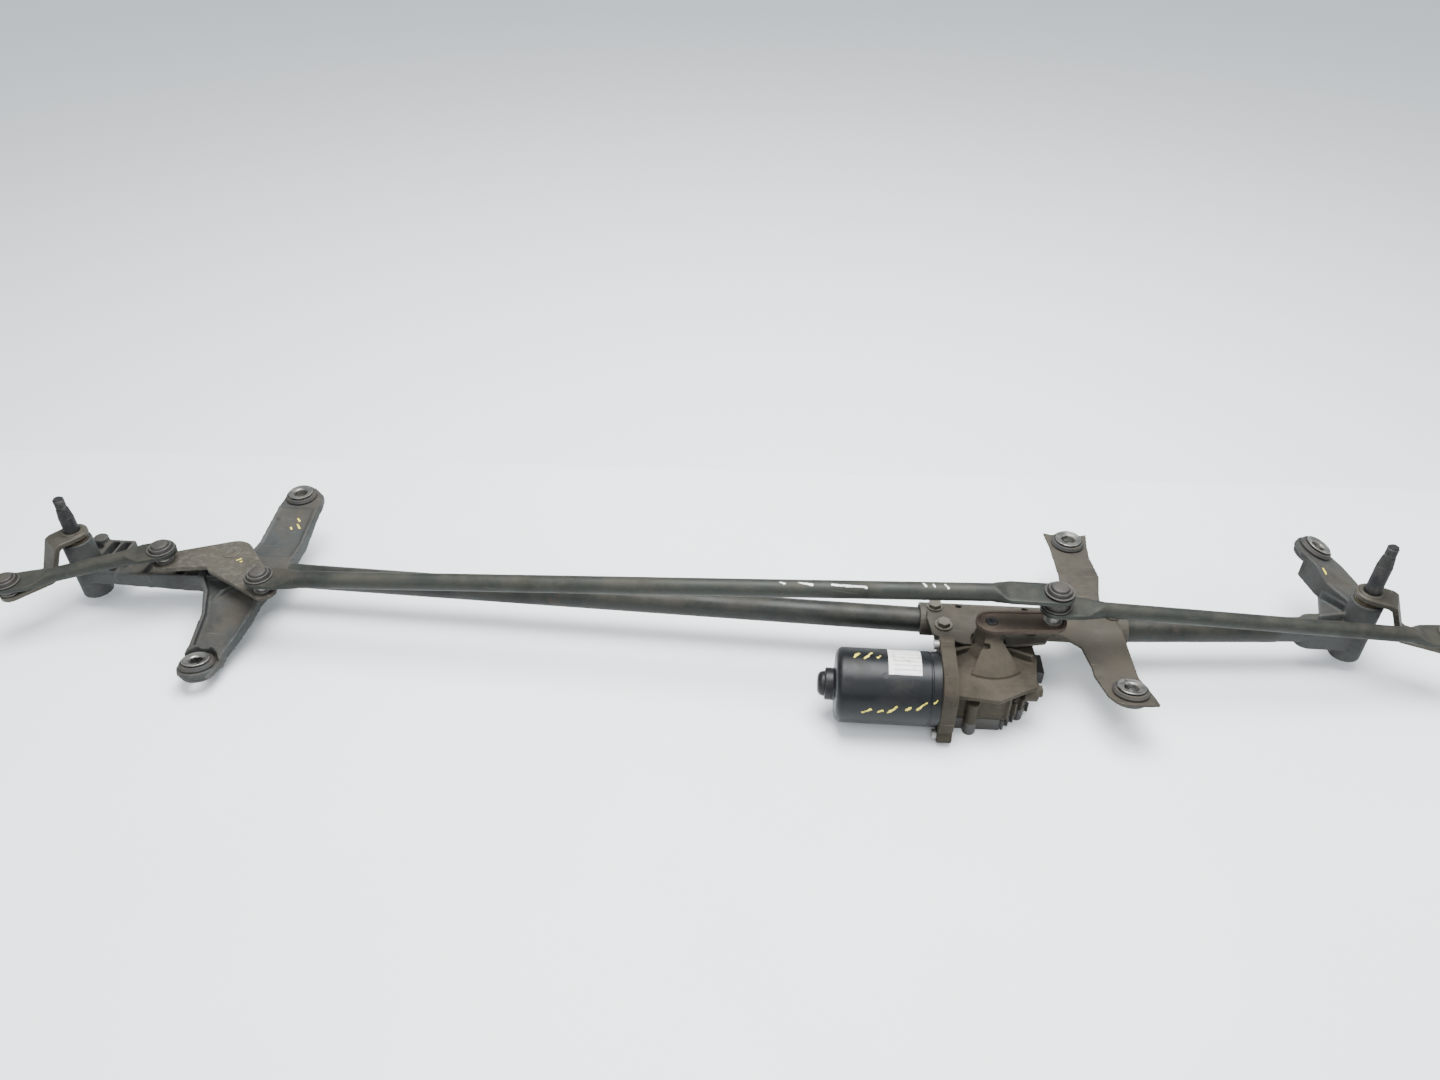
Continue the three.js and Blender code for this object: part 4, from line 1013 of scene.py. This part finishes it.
class WIPER_OT_motor(bpy.types.Operator):
    """Makes the motor can, its label, the gear housing and the ribbed cover"""
    bl_idname = "wiper.motor"
    bl_label = "Motor and Gearbox"

    def execute(self, context):
        sizes = context.scene.wiper_sizes
        lay = Matrix.Translation((0, MOTOR.y, MOTOR.z)) @ Matrix.Rotation(math.radians(90), 4, "Y")
        can = object_from("can_shell", lathe(can_profile(), 96, lay))
        install(can, "frame", "can_enamel", ["motor_can"], sharp=30)
        install(sticker(), "frame", "blank_label", sharp=60)
        install_softened("gear_case_shell", "gear_housing", 0.75, 3, "frame", "gear_case")
        install_softened("cover_shell", "gearbox_cover", 0.75, 2, "frame", "moulded_plastic")
        start, end = (Vector((*spot(x, y), 2.5 * MM)) for x, y in ((273.5, -110.5), (298.5, -87.0)))
        along = (end - start).normalized()
        unit = object_from("rib", bar(Vector(), along.cross(UP) * 2.2 * MM, 1.4 * MM, 10.5 * MM))
        values = {"Count": sizes.cover_ribs, "Offset": (end - start) / (sizes.cover_ribs - 1)}
        ribs = row_of(MATERIALS["moulded_plastic"]).bake(unit, "cover_ribs", values)
        ribs.data.transform(Matrix.Translation(start))
        install(ribs, "frame", "moulded_plastic")
        return {"FINISHED"}


def can_profile():
    """Can and end boss along the motor's axis, open at the gearbox end."""
    left, right = low("motor_can").x / MM, high("motor_can").x / MM
    shell, r = CAN_SHOULDER / MM, CAN_RADIUS / MM
    return [
        (0, left), (5.5, left + 0.1), *arc(5.0, (5.8, left + 5.2), -85, -5, 8), (10.9, left + 6.2),
        (12.9, left + 6.6), *arc(1.0, (13.0, left + 7.6), -80, 0, 4), (14.0, shell - 1.6),
        (14.8, shell - 0.4), (17, shell), (26, shell + 0.3), *arc(6.2, (r - 6.3, shell + 6.6), -85, 0, 14),
        (r - 0.1, shell + 40), (r - 0.1, right - 9), (r - 0.6, right - 8.4), (r - 0.6, right - 7.4),
        (r - 0.1, right - 6.8), (r - 0.1, right), (r - 2, right), (r - 2, shell + 9), (24, shell + 2.4),
        (11, shell + 1), (10, left + 8), (0, left + 5),
    ]


def sticker():
    """Thin label wrapped over the can, from the front of its top to a little behind."""
    sides = [CAN_SHOULDER + edge for edge in LABEL]
    shape = bmesh.new()
    steps = 16
    layers = []
    for r in (CAN_RADIUS - 0.08 * MM, CAN_RADIUS):
        rows = []
        for k in range(steps + 1):
            a = math.radians(64 + 60 * k / steps)
            y, z = MOTOR.y - r * math.cos(a), MOTOR.z + r * math.sin(a)
            rows.append([shape.verts.new((x, y, z)) for x in sides])
        layers.append(rows)
    inner, outer = layers
    for k in range(steps):
        for rows in (inner, outer):
            shape.faces.new((rows[k][0], rows[k][1], rows[k + 1][1], rows[k + 1][0]))
        for side in (0, 1):
            shape.faces.new((inner[k][side], inner[k + 1][side], outer[k + 1][side], outer[k][side]))
    for k in (0, steps):
        shape.faces.new((inner[k][0], inner[k][1], outer[k][1], outer[k][0]))
    return object_from("blank_sticker", shape)


class WIPER_OT_carried(bpy.types.Operator):
    """Gives every CAD piece that stays its own finish"""
    bl_idname = "wiper.carried"
    bl_label = "Bolts and Inner Pieces"

    def execute(self, context):
        finishes = {
            "left_spindle_bush": "bronze", "right_spindle_bush": "bronze", "bell_crank_bush": "bronze",
            "case_bolt_1": "lever_steel", "case_bolt_2": "lever_steel", "tube_bolt_1": "lever_steel",
            "tube_bolt_2": "lever_steel", "magnet_upper": "ferrite", "magnet_lower": "ferrite",
            "brush_plate": "moulded_plastic", "armature_core": "core_steel", "commutator": "copper",
            "worm_shaft": "core_steel", "worm_wheel": "nylon", "flange_screw_1": "core_steel",
            "flange_screw_2": "core_steel", "pivot_circlip": "core_steel",
            "left_spindle_circlip": "core_steel", "right_spindle_circlip": "core_steel",
        }
        for node, finish in finishes.items():
            carried = frame["nodes"][node]
            carried.data.materials.clear()
            carried.data.materials.append(MATERIALS[finish])
        return {"FINISHED"}


def table_finish():
    """Pale table, painted a little greyer beyond the line where the board behind it stands, as painted shade
    for that upright board; both are one flat surface.
    """
    g = Graph("table_white")
    x, y = g.axis("X") - (CENTRE.x + TABLE_EDGE[0]), g.axis("Y") - (CENTRE.y + TABLE_EDGE[1])
    behind = y * math.cos(TABLE_TURN) - x * math.sin(TABLE_TURN)
    cloud = g.noise(3, 3).step(0.3, 0.7)
    near = g.mix(cloud, (0.86, 0.885, 0.89), (0.82, 0.845, 0.85))
    # beyond the edge line the colour steps to a darker grey: painted shade standing in for the upright board
    # behind the table
    colour = g.mix(behind.step(-2 * MM, 4 * MM), near, (0.79, 0.815, 0.82))
    return g.finish(colour, 0.55)


class WIPER_OT_stage(bpy.types.Operator):
    """Makes the table, the lights and the camera"""
    bl_idname = "wiper.stage"
    bl_label = "Stage"

    def execute(self, context):
        half = context.scene.wiper_sizes.floor_size / 2
        mesh = bpy.data.meshes.new("table_top")
        signs = ((-1, -1), (1, -1), (1, 1), (-1, 1))
        corners = [(CENTRE.x + x * half, CENTRE.y + y * half, 0) for x, y in signs]
        mesh.from_pydata(corners, [], [(0, 1, 2, 3)])
        mesh.materials.append(table_finish())
        new_object("table_top", mesh)
        for name, place, aim, width, power in LAMPS:
            lamp = bpy.data.lights.new(name, "AREA")
            lamp.size = width
            lamp.energy = power
            lamp.color = LAMP_COLOUR
            holder = new_object(name, lamp)
            holder.location = place
            holder.rotation_euler = (Vector(aim) - Vector(place)).to_track_quat("-Z", "Y").to_euler()
        world = bpy.data.worlds.new("studio")
        world.use_nodes = True
        background = world.node_tree.nodes["Background"]
        background.inputs["Color"].default_value = WORLD_COLOUR
        background.inputs["Strength"].default_value = WORLD_STRENGTH
        context.scene.world = world
        lens = bpy.data.cameras.new("camera")
        lens.lens = LENS
        lens.sensor_width = SENSOR
        eye = new_object("camera", lens)
        eye.location = (CENTRE.x + EYE[0], CENTRE.y + EYE[1], EYE[2])
        eye.rotation_euler = (EYE_PITCH, 0, EYE_YAW)
        context.scene.camera = eye
        return {"FINISHED"}


class WIPER_PT_panel(bpy.types.Panel):
    """Lists the steps that build the linkage"""
    bl_idname = "WIPER_PT_panel"
    bl_label = "Wiper Linkage"
    bl_space_type = "VIEW_3D"
    bl_region_type = "UI"
    bl_category = "Wiper"

    def draw(self, context):
        for settings in (context.scene.wiper_sizes, context.scene.wiper_finish):
            for name in settings.__annotations__:
                self.layout.prop(settings, name)
        for operator in STEPS:
            self.layout.operator(operator.bl_idname)


STEPS = (
    WIPER_OT_materials, WIPER_OT_stage, WIPER_OT_brackets, WIPER_OT_tubes, WIPER_OT_feet, WIPER_OT_joints,
    WIPER_OT_links, WIPER_OT_cranks, WIPER_OT_spindles, WIPER_OT_motor, WIPER_OT_carried,
)
CLASSES = (WiperSizes, WiperFinish, *STEPS, WIPER_PT_panel)


def register():
    for made in CLASSES:
        bpy.utils.register_class(made)
    bpy.types.Scene.wiper_sizes = PointerProperty(type=WiperSizes)
    bpy.types.Scene.wiper_finish = PointerProperty(type=WiperFinish)


def unregister():
    del bpy.types.Scene.wiper_finish
    del bpy.types.Scene.wiper_sizes
    for made in reversed(CLASSES):
        bpy.utils.unregister_class(made)


def main():
    register()
    for step in STEPS:
        group, name = step.bl_idname.split(".")
        getattr(getattr(bpy.ops, group), name)()


if __name__ == "__main__":
    main()
